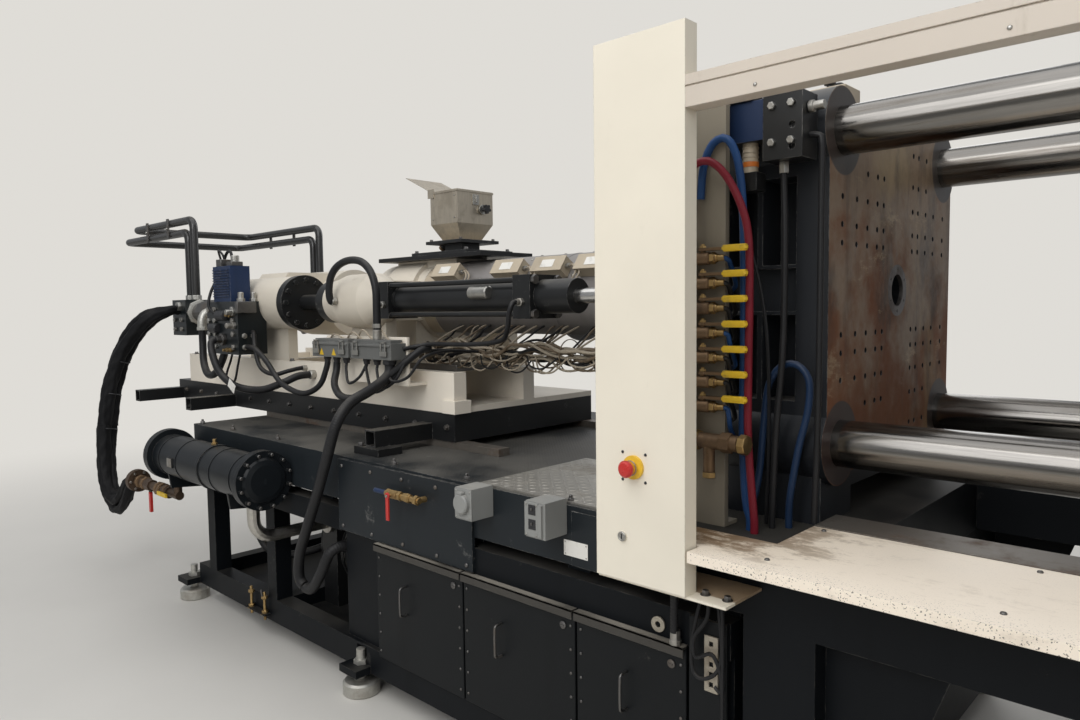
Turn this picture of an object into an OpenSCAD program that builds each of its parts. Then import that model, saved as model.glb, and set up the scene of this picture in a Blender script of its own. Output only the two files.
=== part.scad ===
// Two-platen injection moulding machine with a horizontal injection unit.
// +X runs from the injection end to the clamp end, the near side faces -Y, Z = 0 is the floor.

/* [Layout] */
// Height of the injection axis above the deck
axis_rise = 636; // [615:1:685]
// X of the fixed platen's mould face
face_x = 1572; // [1540:1:1600]
// Length of the base on the injection side of the mould face
inj_len = 3312; // [3270:1:3400]
// Length of the base on the clamp side of the mould face
clamp_len = 2228; // [2200:1:2400]
// Width of the base over its side faces
base_w = 1676; // [1660:2:1700]
// Height of the injection deck
deck_h = 955; // [950:1:965]
// Height of the deck's box
deck_t = 182; // [175:1:200]
// Gap between the lower frame and the deck
deck_gap = 37; // [25:1:45]

/* [Base] */
// Height of the levelling pads
pad_h = 55; // [45:1:60]
// Diameter of the levelling pads
pad_d = 150; // [130:2:170]
// Height of the beams above the floor
beam_z = 90; // [80:1:100]
// Height of the lower frame's beams
beam_h = 110; // [90:1:130]
// Width of the lower frame's beams and posts
beam_w = 80; // [60:1:100]
// Length of the open skeleton at the injection end
skeleton_len = 1410; // [1300:5:1420]
// Width of one bolted access panel
panel_w = 513; // [490:1:530]
// Thickness of the sheet-metal covers
sheet_t = 12; // [8:1:16]
// Step from the deck down to the top of the clamp base
clamp_drop = 17; // [10:1:25]
// Length of the drop-out opening under the mould space
drop_len = 940; // [860:5:980]

/* [Guard and shelves] */
// Distance of the guard plane from the machine's centre plane
guard_y = 1018; // [1000:1:1025]
// Width of the guard post
post_w = 271; // [240:1:280]
// Depth of the guard post and its beam
post_d = 50; // [40:1:60]
// Height of the guard post's top
post_top = 2206; // [2150:1:2240]
// Bottom of the guard beam
beam_bot = 2005; // [1980:1:2040]
// Height of the guard beam
guard_beam_h = 74; // [60:1:90]
// Thickness of the white side shelf
shelf_t = 27; // [22:1:30]
// Reach of the far shelf from the centre plane
far_shelf_y = 1045; // [1030:1:1060]
// Length of the sliding gate
gate_len = 1110; // [1000:5:1115]

/* [Clamp] */
// Width and height of the platens' bodies
platen_w = 1038; // [1010:2:1050]
// Thickness of the fixed platen
fixed_t = 330; // [310:1:340]
// Thickness of the moving platen
moving_t = 360; // [320:1:400]
// Distance between tie bar centres
bar_pitch = 860; // [840:2:870]
// Diameter of the tie bars
bar_d = 132; // [120:1:140]
// Radius of the round bosses at the tie bars
boss_r = 120; // [110:1:125]
// Opening between the platens as shown
daylight = 900; // [800:5:920]
// Length of the tie bars beyond the fixed platen's face
bar_len = 2040; // [1980:5:2100]
// Diameter of the tapped mould bolt holes
tap_d = 17; // [14:0.5:20]
// Diameter of the locating bore
locate_d = 100; // [80:1:120]

/* [Injection unit] */
// Radius of the barrel cover
cover_r = 190; // [180:1:195]
// Radius of the barrel
barrel_r = 80; // [75:1:85]
// Diameter of the screw
screw_d = 80; // [70:1:90]
// Distance of the side cylinders from the axis
side_y = 430; // [420:1:440]
// Outer radius of the injection cylinders
inject_r = 140; // [130:1:142]
// Radius of the injection cylinders' rods
inject_rod_r = 40; // [35:1:45]
// Size of the contact cylinders' square heads
head_size = 164; // [150:1:170]
// Radius of the contact cylinders' rods
contact_rod_r = 27.5; // [24:0.5:32]
// Height of the carriage's black sub-frame
sub_h = 120; // [110:1:125]
// Height of the white carriage walls
wall_h = 150; // [140:1:155]
// Width of the hopper across the machine
hopper_w = 230; // [200:2:260]
// Length of the hopper along the machine
hopper_l = 200; // [180:2:220]

/* [Cooler] */
// Radius of the cooler's shell
cooler_r = 103; // [96:1:110]
// Radius of the cooler's end flanges
cooler_flange_r = 130; // [120:1:131]
// Height of the cooler's axis above the lower frame
cooler_rise = 79; // [72:1:89]
// Distance of the cooler's axis from the centre plane
cooler_y = 970; // [969:1:975]
// Length of the cooler's shell
cooler_len = 975; // [940:5:990]

/* [Hidden] */

fit = 0.05;          // radial clearance of rods and shafts in their bores
seat = 0.3;          // clearance between sliding faces
half_w = base_w / 2;
axis_h = deck_h + axis_rise;
deck_bot = deck_h - deck_t;
frame_h = deck_bot - deck_gap;
clamp_top = deck_h - clamp_drop;
cooler_h = frame_h + cooler_rise;
x_left = face_x - inj_len;
x_right = face_x + clamp_len;
x_joint = face_x - 362;      // where the deck meets the clamp base
x_leg = face_x - 72;         // left leg of the clamp base
x_closed = x_left + skeleton_len;
skirt_end = x_closed + 820;
strip_len = 280;             // side strip of the deck at the joint
tread_len = 710;             // checker plate on the deck before the joint
tread_in = 260;              // its inner edge from the centre plane
foot_y = half_w + 5;
leg_w = 188;
drop_x = x_leg + leg_w;
x_leg2 = drop_x + drop_len + 72;

platen_back = face_x - fixed_t;
moving_face = face_x + daylight;
moving_back = moving_face + moving_t;
lock_t = 180;
bar_y = bar_pitch / 2;
bar_r = bar_d / 2;
foot_top = axis_h - platen_w / 2;
rail_y0 = bar_y + 38;
rail_y1 = bar_y + 178;
rail_top = clamp_top + 29;

post_x1 = face_x - 128;
post_x0 = post_x1 - post_w;
shelf_top = clamp_top + shelf_t;
gate_x1 = x_right - 110;
gate_x0 = gate_x1 - gate_len;
estop = [post_x0 + 122, -guard_y, axis_h - 442];

rail_h = 30;
sub_z = deck_h + rail_h + seat;
plate_z = sub_z + sub_h;
plate_t = 25;
wall_z = plate_z + plate_t;
wall_top = wall_z + wall_h;
wall_t = 68;
car_x0 = face_x - 4442;      // rear end of the carriage's sub-frame
car_x1 = face_x - 1632;      // front end of the carriage
white_x0 = car_x0 + 180;
car_y = side_y + 20;
rest_x = 270;                // rest under the front outrigger
rest_y = 770;
rest_l = 170;
rest_w = 120;
shelf_x0 = 130;              // bracket of the connector block
shelf_x1 = 760;
shelf_up = 150;

housing_x0 = face_x - 2572;
housing_x1 = face_x - 2072;
housing_r = 214;
housing_top = axis_h + 200;
cover_x0 = housing_x1 - 100;
throat_y = 100;
boss_x0 = housing_x0 + 70;
drive_x0 = face_x - 3472;
drive_x1 = face_x - 2882;
head_t = 50;
piston_r = 90;
screw_r = screw_d / 2;
contact_x0 = housing_x1;
contact_len = 950;
rod_end = 852;               // where the rods thicken, from the mould face
contact_bore_r = 50;
hopper_x = face_x - 2078;
slide_t = 20;
neck_h = 39;
flange_t = 15;
cone_h = 80;
bin_h = 160;
bin_z = housing_top + slide_t + seat + 15 + neck_h + flange_t + cone_h;

cooler_x0 = x_left + 20;
oil_x = cooler_x0 - 500;     // end of the oil line's valves
oil_z = cooler_h - 210;
header_x = face_x - 322;
clamp_side = max(bar_y + boss_r, platen_w / 2);   // the fixed platen's widest side
header_gap = 172;            // from it to the row of valves
header_y = clamp_side + header_gap;
valve_pitch = 67;
valve_top = axis_h + 86;
valve_x = header_x + 60;
column_y = header_y - 52;
lever_l = 125;

// Corner-to-corner block
module span(lo, hi) {
    translate(lo) cube(hi - lo);
}

// Cylinder along X between two X values
module rod_x(x0, x1, y, z, r, n = 48) {
    translate([x0, y, z]) rotate([0, 90, 0]) cylinder(h = x1 - x0, r = r, $fn = n);
}

// Cylinder along Y between two Y values
module rod_y(y0, y1, x, z, r, n = 48) {
    translate([x, y1, z]) rotate([90, 0, 0]) cylinder(h = y1 - y0, r = r, $fn = n);
}

// Cylinder along Z between two Z values
module rod_z(z0, z1, x, y, r, n = 48) {
    translate([x, y, z0]) cylinder(h = z1 - z0, r = r, $fn = n);
}

// Children on the near side and on the far side
module both_sides() {
    for (s = [-1, 1]) scale([1, s, 1]) children();
}

// Bolt heads on a circle in a plane across X
module bolts_x(x0, x1, y, z, circle_r, head_r, count) {
    for (i = [0 : count - 1])
        translate([x0, y, z]) rotate([i * 360 / count, 0, 0]) translate([0, 0, circle_r])
            rotate([0, 90, 0]) cylinder(h = x1 - x0, r = head_r, $fn = 6);
}

function unit(v) = v / norm(v);
function ring_dir(p, i) = unit(p[min(i + 1, len(p) - 1)] - p[max(i - 1, 0)]);
function ring_side(d) = unit(cross(d, abs(d[2]) > 0.9 ? [0, 1, 0] : [0, 0, 1]));

// Tube swept along the points of a route
module hose(p, r, sides = 8) {
    n = len(p);
    points = [for (i = [0 : n - 1], k = [0 : sides - 1])
        let (d = ring_dir(p, i), a = ring_side(d), b = cross(a, d), t = k * 360 / sides)
            p[i] + r * (cos(t) * a + sin(t) * b)];
    sides_faces = [for (i = [0 : n - 2], k = [0 : sides - 1])
        let (k2 = (k + 1) % sides)
            [i * sides + k, i * sides + k2, (i + 1) * sides + k2, (i + 1) * sides + k]];
    ends = [[for (k = [sides - 1 : -1 : 0]) k], [for (k = [0 : sides - 1]) (n - 1) * sides + k]];
    polyhedron(points, concat(sides_faces, ends), convexity = 6);
}

// Routes of the hoses, in millimetres
blue_route = [[1290, -702.5, 1840], [1300, -703, 1930], [1330, -704, 1985], [1372, -704, 1990],
    [1396, -690, 1930], [1402, -672, 1800], [1404, -668, 1600], [1404, -668, 1400],
    [1402, -668, 1200], [1412, -668, 1020], [1425, -668, 970], [1425, -668, 938.3]];
red_route = [[1262, -703, 1790], [1260, -717, 1870], [1282, -729, 1925], [1330, -730, 1935],
    [1375, -718, 1895], [1415, -704, 1810], [1430, -692, 1720], [1432, -690, 1560],
    [1430, -690, 1380], [1430, -690, 1200], [1442, -690, 1050], [1450, -690, 970],
    [1450, -690, 938.3]];
loop_route = [[1406, -625, 938.3], [1406, -625, 985], [1416, -600, 1080], [1420, -580, 1240],
    [1432, -578, 1330], [1465, -576, 1380], [1510, -575, 1388], [1545, -575, 1350],
    [1545, -576, 1270], [1520, -578, 1160], [1500, -580, 1040], [1495, -580, 985],
    [1495, -580, 938.3]];
black_route = [[1478, -592, 1929.7], [1478, -592, 1880], [1484, -596, 1760], [1486, -600, 1560],
    [1484, -606, 1400], [1470, -610, 1200], [1462, -612, 980], [1462, -612, 938.3]];
supply_route = [[-310, -594, 1332], [-308, -604, 1270], [-300, -700, 1215], [-290, -810, 1170],
    [-285, -880, 1090],
    [-330, -900, 950], [-400, -905, 800], [-490, -905, 640], [-570, -900, 500],
    [-590, -890, 390], [-520, -880, 360], [-440, -880, 440], [-390, -860, 540],
    [-370, -800, 560], [-364, -740, 520]];
bundle_route = [[-2680, -510.5, 1560], [-2680, -565, 1560], [-2730, -700, 1500],
    [-2830, -800, 1330], [-2870, -870, 1100], [-2850, -920, 850], [-2800, -950, 620],
    [-2710, -965, 470], [-2590, -968, 410], [-2470, -968, 440],
    [oil_x - 130, -cooler_y, oil_z - 50], [oil_x - 55, -cooler_y, oil_z],
    [oil_x - 0.5, -cooler_y, oil_z]];
arch_route = [[-770, -558.5, 1591], [-770, -586, 1591], [-768, -596, 1640], [-750, -594, 1705],
    [-700, -590, 1750], [-610, -590, 1772], [-510, -590, 1762], [-440, -590, 1715],
    [-405, -590, 1640], [-402, -590, 1540], [-402, -590, 1420]];

module foot_pockets(xs)
    both_sides()
        for (x = xs) {
            rod_z(beam_z - 1, beam_z + 31, x, foot_y, 19);
            rod_z(beam_z + 30, beam_z + 100, x, foot_y, 34);
        }

module foot_lugs(xs)
    both_sides()
        for (x = xs) span([x - 60, half_w - 60, beam_z], [x + 60, foot_y + 65, beam_z + 30]);

base_feet = [x_left - 60, x_left + 1530, x_left + 3040];
clamp_feet = [x_leg + 95, x_leg2 + 95, x_right - 100];

module base_frame() color([0.16, 0.18, 0.21]) difference() {
    base_frame_solid();
    foot_pockets(base_feet);
}

module base_frame_solid() {
    foot_lugs(base_feet);
    both_sides() {
        span([x_left, half_w - beam_w, beam_z], [x_leg - 35, half_w, beam_z + beam_h]);
        span([x_left + 130, half_w - beam_w, frame_h - 96], [x_closed, half_w, frame_h]);
        for (x = [x_left + 130, x_left + 760])
            span([x, half_w - beam_w, beam_z], [x + beam_w, half_w, frame_h]);
        span([skirt_end, half_w - 40, frame_h - 96], [x_leg - 35, half_w, frame_h]);
    }
    for (x = [x_left, x_left + 760, x_closed - beam_w])
        span([x, -half_w + 1, beam_z], [x + beam_w, half_w - 1, beam_z + beam_h]);
    span([x_left + 130, -half_w + 1, frame_h - 96], [x_left + 130 + beam_w, half_w - 1, frame_h]);
    span([x_left, -half_w + 20, beam_z + 30], [x_closed, half_w - 20, beam_z + 40]);
    span([x_closed, -half_w + 20, beam_z + 20], [x_leg - 35, half_w - 20, frame_h]);
}

module clamp_base() color([0.15, 0.17, 0.2]) {
    difference() {
        union() {
            span([x_joint, -half_w, deck_bot], [x_right, half_w, clamp_top]);
            span([x_leg, -half_w, deck_bot - 22], [x_right, half_w, clamp_top]);
            span([x_leg, -half_w, beam_z], [drop_x, half_w, clamp_top - 10]);
            span([x_leg2, -half_w, beam_z], [x_right, half_w, clamp_top - 10]);
            foot_lugs(clamp_feet);
        }
        foot_pockets(clamp_feet);
        span([drop_x + 12, -bar_y - 20, 0], [drop_x + drop_len, bar_y + 20, clamp_top + 1]);
        both_sides()
            for (x = [x_leg2 + 60, x_leg2 + 560])
                span([x, half_w - 10, 180], [x + 440, half_w + 1, 640]);
    }
    both_sides()
        translate([0, half_w - 60, 0]) rotate([90, 0, 0])
            linear_extrude(sheet_t)
                polygon([[drop_x - 1, 380], [drop_x + 190, 480], [drop_x + 286, deck_bot - 20],
                    [drop_x - 1, deck_bot - 20]]);
    for (x = [x_joint + 60, x_leg - 120])
        both_sides()
            span([x, half_w - 140, frame_h], [x + 80, half_w - 60, deck_bot + 1]);
}

module leveling_feet() {
    color([0.62, 0.61, 0.57])
        for (x = concat(base_feet, clamp_feet), s = [-1, 1])
            translate([x, s * foot_y, 0]) {
                rotate_extrude($fn = 48)
                    polygon([[0, 0], [pad_d / 2 - 4, 0], [pad_d / 2, 4], [pad_d / 2, pad_h - 8],
                        [pad_d / 2 - 8, pad_h], [30, pad_h], [18, pad_h + 6],
                        [18, beam_z + 90], [0, beam_z + 90]]);
                translate([0, 0, beam_z - 18]) cylinder(h = 18, r = 30, $fn = 6);
                translate([0, 0, beam_z + 30]) cylinder(h = 18, r = 30, $fn = 6);
            }
}

module panel_sheet(x0, x1) {
    y0 = half_w;
    difference() {
        span([x0 + 4, y0 + seat, beam_z + beam_h - 12], [x1 - 4, y0 + sheet_t, frame_h - 90]);
        span([x0 + 24, y0 - 1, beam_z + beam_h + 8], [x1 - 24, y0 + sheet_t - 5, frame_h - 110]);
    }
    span([x0 + 4, y0 + seat, frame_h - 98], [x1 - 4, y0 + 30, frame_h - 86]);
    for (x = [x0 + 40, x1 - 40], z = [250, 590])
        rod_y(y0 + sheet_t, y0 + sheet_t + 6, x, z, 9, 12);
    xm = (x0 + x1) / 2;
    for (x = [xm - 55, xm + 55])
        rod_y(y0 + sheet_t, y0 + sheet_t + 40, x, 500, 6, 16);
    rod_x(xm - 61, xm + 61, y0 + sheet_t + 36, 500, 6, 16);
}

module access_panels() color([0.17, 0.19, 0.22])
    both_sides()
        for (i = [0 : 2])
            panel_sheet(x_leg - 36 - (i + 1) * panel_w, x_leg - 36 - i * panel_w);

module bed() color([0.17, 0.2, 0.24]) {
    span([x_left, -half_w, deck_bot], [x_joint, half_w, deck_h]);
    for (x = [x_left + 200 : 480 : x_joint - 100])
        both_sides()
            span([x, half_w - 140, frame_h], [x + 90, half_w - 60, deck_bot + 1]);
    both_sides()
        span([x_closed, half_w - 1, frame_h - 84], [skirt_end, half_w + sheet_t, deck_h - 10]);
    both_sides()
        span([x_joint - strip_len, half_w - 1, deck_bot], [post_x0 - 8, half_w + 3, deck_h - 16]);
}

module tread_plate() color([0.55, 0.55, 0.52])
    span([x_joint - tread_len, -half_w + 18, deck_h], [x_joint + 30, -tread_in, deck_h + 6]);

module guide_rails() color([0.36, 0.3, 0.25]) {
    both_sides() {
        span([x_left + 40, car_y - 66, deck_h], [car_x1 + 260, car_y - 6, deck_h + rail_h]);
        span([face_x + 8, rail_y0, clamp_top], [x_right - 20, rail_y1, rail_top]);
    }
}

module side_shelves() color([0.86, 0.84, 0.78]) {
    translate([0, 0, clamp_top])
        linear_extrude(shelf_t)
            polygon([[post_x0 + 167, -half_w + 20], [face_x + 8, -half_w + 20],
                [face_x + 8, -rail_y1 - 3], [x_right, -rail_y1 - 3], [x_right, -guard_y],
                [post_x1 + 5, -guard_y], [post_x1 + 5, -guard_y + post_d + 8],
                [post_x0 + 167, -guard_y + post_d + 8]]);
    translate([0, 0, clamp_top])
        linear_extrude(shelf_t)
            polygon([[post_x0 + 167, half_w - 20], [face_x + 8, half_w - 20],
                [face_x + 8, rail_y1 + 3], [x_right, rail_y1 + 3], [x_right, far_shelf_y],
                [post_x0 + 167, far_shelf_y]]);
}

module guard_post() color([0.9, 0.88, 0.83]) {
    z0 = deck_h - 103;
    difference() {
        span([post_x0, -guard_y, z0], [post_x1, -guard_y + post_d, post_top]);
        rod_y(-guard_y - 1, -guard_y + post_d + 1, estop[0], estop[2], 12);
    }
    span([post_x0, -guard_y + 8, z0 - 7], [post_x1 + 106, -half_w - 0.01, z0]);
    span([x_joint + 20, -guard_y + post_d - 1, z0 - 1], [x_joint + 130, -half_w - 0.01, z0 + 70]);
    rod_y(-guard_y - 3, -guard_y + 1, post_x0 + 86, z0 + 115, 13);
}

module guard_beam() color([0.89, 0.87, 0.82]) {
    y1 = -guard_y + post_d;
    difference() {
        span([post_x1, -guard_y, beam_bot], [x_right, y1, beam_bot + guard_beam_h]);
        span([post_x1 - 1, -guard_y - 1, beam_bot + 46], [x_right + 1, -guard_y + 4, beam_bot + 50]);
    }
    span([gate_x1 + 10, -guard_y, shelf_top], [x_right, y1, beam_bot + 1]);
}

module estop_collar() color([0.95, 0.72, 0.1])
    difference() {
        union() {
            rod_y(estop[1] - 8, estop[1], estop[0], estop[2], 30);
            rod_y(estop[1] - 18, estop[1] - 7, estop[0], estop[2], 17);
        }
        rod_y(estop[1] - 19, estop[1] + 1, estop[0], estop[2], 11 + fit);
    }

module estop_button() color([0.75, 0.1, 0.1])
    translate([estop[0], estop[1], estop[2]]) rotate([90, 0, 0])
        rotate_extrude($fn = 48)
            polygon([[0, -20], [11, -20], [11, 26], [20, 30], [20, 38], [16, 43], [0, 45]]);

module gate() color([0.88, 0.86, 0.81]) {
    y0 = -guard_y + 6;
    y1 = -guard_y + post_d - 4;
    z0 = shelf_top + seat;
    z1 = beam_bot - seat;
    difference() {
        span([gate_x0, y0, z0], [gate_x1, y1, z1]);
        span([gate_x0 + 70, y0 - 1, z0 + 110], [gate_x1 - 70, y1 + 1, z1 - 70]);
    }
    for (z = [z0 + 420, z0 + 620])
        rod_y(y0 - 40, y0 + 1, gate_x0 + 35, z, 9, 24);
    rod_z(z0 + 405, z0 + 635, gate_x0 + 35, y0 - 36, 9, 24);
}

module gate_window() color([0.75, 0.8, 0.82])
    span([gate_x0 + 70 + seat, -guard_y + 22, shelf_top + 110 + 2 * seat],
        [gate_x1 - 70 - seat, -guard_y + 28, beam_bot - 70 - 2 * seat]);

hole_cols = [127, 178, 254, 333, 433];
hole_rows = [127, 178, 254];
wide_rows = [333, 433];

// Blind tapped holes of the mould face, as cylinders to cut away, drilled towards +X
module tapped_grid() {
    for (y = hole_cols, z = hole_rows, sy = [-1, 1], sz = [-1, 1])
        translate([0, sy * y, sz * z]) rotate([0, 90, 0]) cylinder(h = 42, d = tap_d, $fn = 24);
    for (y = hole_rows, z = wide_rows, sy = [-1, 1], sz = [-1, 1])
        translate([0, sy * y, sz * z]) rotate([0, 90, 0]) cylinder(h = 42, d = tap_d, $fn = 24);
}

// Outline of a platen in the plane across the axis
module platen_outline() {
    square([platen_w, platen_w - 90], center = true);
    square([platen_w - 90, platen_w], center = true);
    for (y = [-bar_y, bar_y], z = [-bar_y, bar_y]) translate([y, z]) circle(r = boss_r, $fn = 64);
}

module platen_blank(x0, t) {
    translate([x0, 0, axis_h]) rotate([90, 0, 90]) linear_extrude(t) platen_outline();
}

module bar_holes(x0, x1, r) {
    for (y = [-bar_y, bar_y], z = [-bar_y, bar_y]) rod_x(x0, x1, y, axis_h + z, r, 64);
}

module fixed_platen() color([0.2, 0.23, 0.28])
    difference() {
        union() {
            platen_blank(platen_back, fixed_t);
            span([platen_back + 20, -platen_w / 2 + 10, clamp_top],
                [face_x - 20, platen_w / 2 - 10, foot_top + 60]);
        }
        bar_holes(platen_back - 1, face_x + 1, bar_r + fit);
        rod_x(face_x - 120, face_x + 1, 0, axis_h, 81, 64);
        translate([platen_back - 1, 0, axis_h]) rotate([0, 90, 0])
            cylinder(h = fixed_t - 118, r1 = 230, r2 = 110, $fn = 64);
        translate([face_x - 42, 0, axis_h]) tapped_grid();
        for (s = [-1, 1]) {
            for (z = [-310, 70])
                for (x = [platen_back + 22, platen_back + 138])
                    span([x, min(s * (platen_w / 2 - 110), s * (platen_w / 2 + 1)), axis_h + z],
                        [x + 100, max(s * (platen_w / 2 - 110), s * (platen_w / 2 + 1)),
                            axis_h + z + 240]);
            span([platen_back + 22, min(s * (platen_w / 2 - 40), s * (platen_w / 2 + 1)),
                axis_h - 60], [platen_back + 238,
                max(s * (platen_w / 2 - 40), s * (platen_w / 2 + 1)), axis_h + 60]);
        }
        span([platen_back - 1, -300, clamp_top - 1], [face_x + 1, 300, foot_top - 55]);
    }

module locating_ring() color([0.45, 0.42, 0.38])
    difference() {
        rod_x(face_x - 12, face_x, 0, axis_h, 81 - fit, 64);
        rod_x(face_x - 13, face_x + 1, 0, axis_h, locate_d / 2, 64);
        for (a = [0 : 60 : 359])
            translate([face_x - 5, 0, axis_h]) rotate([a, 0, 0]) translate([0, 0, 66])
                rotate([0, 90, 0]) cylinder(h = 6, r = 6, $fn = 16);
    }

module tie_bars() color([0.75, 0.76, 0.77])
    for (y = [-bar_y, bar_y], z = [-bar_y, bar_y])
        translate([0, y, axis_h + z]) rotate([0, 90, 0])
            rotate_extrude($fn = 72)
                polygon([[0, platen_back - 90], [100, platen_back - 90],
                    [105, platen_back - 85], [105, platen_back], [bar_r, platen_back],
                    [bar_r, face_x + bar_len - 6], [bar_r - 6, face_x + bar_len],
                    [0, face_x + bar_len]]);

module moving_platen() color([0.2, 0.23, 0.28])
    difference() {
        union() {
            platen_blank(moving_face, moving_t);
            both_sides()
                span([moving_face + 20, rail_y0 + 2, rail_top + seat],
                    [moving_back - 20, rail_y1 - 2 - 60, foot_top + 60]);
        }
        bar_holes(moving_face - 1, moving_back + 1, bar_r + fit);
        rod_x(moving_face - 1, moving_back + 1, 0, axis_h, 25 + fit, 48);
        translate([moving_face, 0, axis_h]) tapped_grid();
        span([moving_back - 200, -220, axis_h - 220], [moving_back + 1, 220, axis_h + 220]);
        for (s = [-1, 1], z = [-310, 70])
            span([moving_face + 90, min(s * (platen_w / 2 - 110), s * (platen_w / 2 + 1)),
                axis_h + z], [moving_back - 40,
                max(s * (platen_w / 2 - 110), s * (platen_w / 2 + 1)), axis_h + z + 240]);
    }

module tie_bar_locks() color([0.18, 0.2, 0.24])
    for (y = [-bar_y, bar_y], z = [-bar_y, bar_y])
        translate([moving_back, y, axis_h + z]) rotate([0, 90, 0])
            rotate_extrude($fn = 64)
                polygon([[bar_r + fit, 0], [boss_r + 6, 0], [boss_r + 6, lock_t - 60],
                    [boss_r - 10, lock_t - 60], [boss_r - 10, lock_t - 12],
                    [boss_r - 22, lock_t], [bar_r + fit, lock_t]]);

module ejector() color([0.6, 0.6, 0.6])
    difference() {
        union() {
            rod_x(moving_face + 6, moving_back - 30, 0, axis_h, 25, 48);
            rod_x(moving_back - 40, moving_back - 5, 0, axis_h, 110, 64);
        }
        for (a = [0 : 90 : 359])
            translate([moving_back - 45, 0, axis_h]) rotate([a, 0, 0]) translate([0, 0, 85])
                rotate([0, 90, 0]) cylinder(h = 50, r = 9, $fn = 24);
    }

module clamp_manifold() {
    y1 = -clamp_side - seat;
    color([0.1, 0.11, 0.13])
        difference() {
            span([face_x - 132, y1 - 88, axis_h + 339], [face_x - 22, y1, axis_h + 509]);
            for (z = [30, 85, 140])
                rod_y(y1 - 89, y1 - 76, face_x - 50, axis_h + 339 + z, 9, 16);
        }
    color([0.13, 0.25, 0.5])
        span([face_x - 262, y1 - 80, axis_h + 399], [face_x - 132, y1 - 12, axis_h + 505]);
    color([0.85, 0.83, 0.75])
        rod_z(axis_h + 319, axis_h + 399, face_x - 190, y1 - 46, 21);
    color([0.1, 0.1, 0.11])
        span([face_x - 222, y1 - 72, axis_h + 269], [face_x - 158, y1 - 20, axis_h + 319]);
}

module hose_column() color([0.72, 0.69, 0.6]) {
    x0 = x_joint + 34;
    span([x0, -column_y - 20, clamp_top], [x0 + 116, -column_y, axis_h + 560]);
    span([x0, -column_y - 20, clamp_top], [x0 + 116, -column_y + 50, clamp_top + 10]);
    span([x0, -column_y - 6, clamp_top], [x0 + 8, -column_y + 50, axis_h + 560]);
}

module water_manifold() {
    color([0.5, 0.45, 0.32]) {
        span([header_x - 18, -header_y - 20, valve_top - 6 * valve_pitch - 130],
            [header_x + 18, -column_y - 20, valve_top + 60]);
        for (i = [0 : 6]) {
            z = valve_top - i * valve_pitch;
            translate([header_x + 18, -header_y, z]) rotate([0, 90, 0])
                rotate_extrude($fn = 24)
                    polygon([[0, -2], [12, -2], [12, 14], [17, 18], [17, 62], [12, 66],
                        [12, 84], [0, 84]]);
            rod_z(z + 12, z + 20, valve_x, -header_y, 7, 16);
            rod_x(header_x - 58, header_x - 17, -header_y, z, 10, 16);
        }
    }
    z1 = valve_top - 6 * valve_pitch - 95;
    color([0.55, 0.4, 0.22]) {
        rod_x(header_x + 17, header_x + 172, -header_y, z1, 22, 24);
        rod_x(header_x + 120, header_x + 150, -header_y, z1, 28, 6);
        rod_z(z1 - 85, z1, header_x + 80, -header_y, 16, 24);
    }
}

module valve_handle(i) color([0.95, 0.75, 0.1]) {
    z = valve_top - i * valve_pitch + 20 + seat;
    rod_z(z, z + 8, valve_x, -header_y, 13, 24);
    span([valve_x + 8, -header_y - 9, z], [valve_x + lever_l, -header_y + 9, z + 8]);
    rod_z(z, z + 8, valve_x + lever_l, -header_y, 9, 24);
}

module water_hoses() {
    color([0.1, 0.3, 0.6]) hose(blue_route, 12);
    color([0.65, 0.12, 0.15]) hose(red_route, 12);
    color([0.15, 0.3, 0.5]) hose(loop_route, 11);
    color([0.05, 0.05, 0.05]) hose(black_route, 9);
}

module cooler_shell() color([0.17, 0.2, 0.24]) {
    rod_x(cooler_x0, cooler_x0 + cooler_len, -cooler_y, cooler_h, cooler_r, 64);
    for (x = [cooler_x0, cooler_x0 + 0.55 * cooler_len, cooler_x0 + cooler_len - 24])
        rod_x(x, x + 24, -cooler_y, cooler_h, x == cooler_x0 + 0.55 * cooler_len
            ? cooler_r + 5 : cooler_flange_r, 64);
    for (x = [x_left + 150, x_left + 800])
        translate([x, 0, 0]) rotate([90, 0, 90]) linear_extrude(14)
            polygon([[-half_w - 0.01, frame_h - 90], [-half_w - 0.01, frame_h - 10],
                [-cooler_y + cooler_r - 20, cooler_h - 40], [-cooler_y, cooler_h],
                [-cooler_y - cooler_r + 30, cooler_h - 60], [-cooler_y - 60, frame_h - 70]]);
    span([x_left + 240, -cooler_y - cooler_r - 5, cooler_h - 24],
        [x_left + 300, -cooler_y - cooler_r + 20, cooler_h + 24]);
}

module cooler_covers() color([0.17, 0.2, 0.24])
    for (e = [0, 1])
        translate([e == 0 ? cooler_x0 : cooler_x0 + cooler_len, -cooler_y, cooler_h])
            rotate([0, e == 0 ? -90 : 90, 0]) {
                rotate_extrude($fn = 64)
                    polygon([[0, 0], [cooler_flange_r, 0], [cooler_flange_r, 24],
                        [cooler_flange_r - 30, 24], [cooler_flange_r - 38, 34],
                        [cooler_flange_r - 60, 40], [0, 42]]);
                for (i = [0 : 11])
                    rotate([0, 0, i * 30 + 15]) translate([cooler_flange_r - 14, 0, 23])
                        cylinder(h = 11, r = 9, $fn = 6);
            }

module cooler_pipework() difference() {
    cooler_pipes();
    rod_x(cooler_x0, cooler_x0 + cooler_len, -cooler_y, cooler_h, cooler_r, 64);
}

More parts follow.
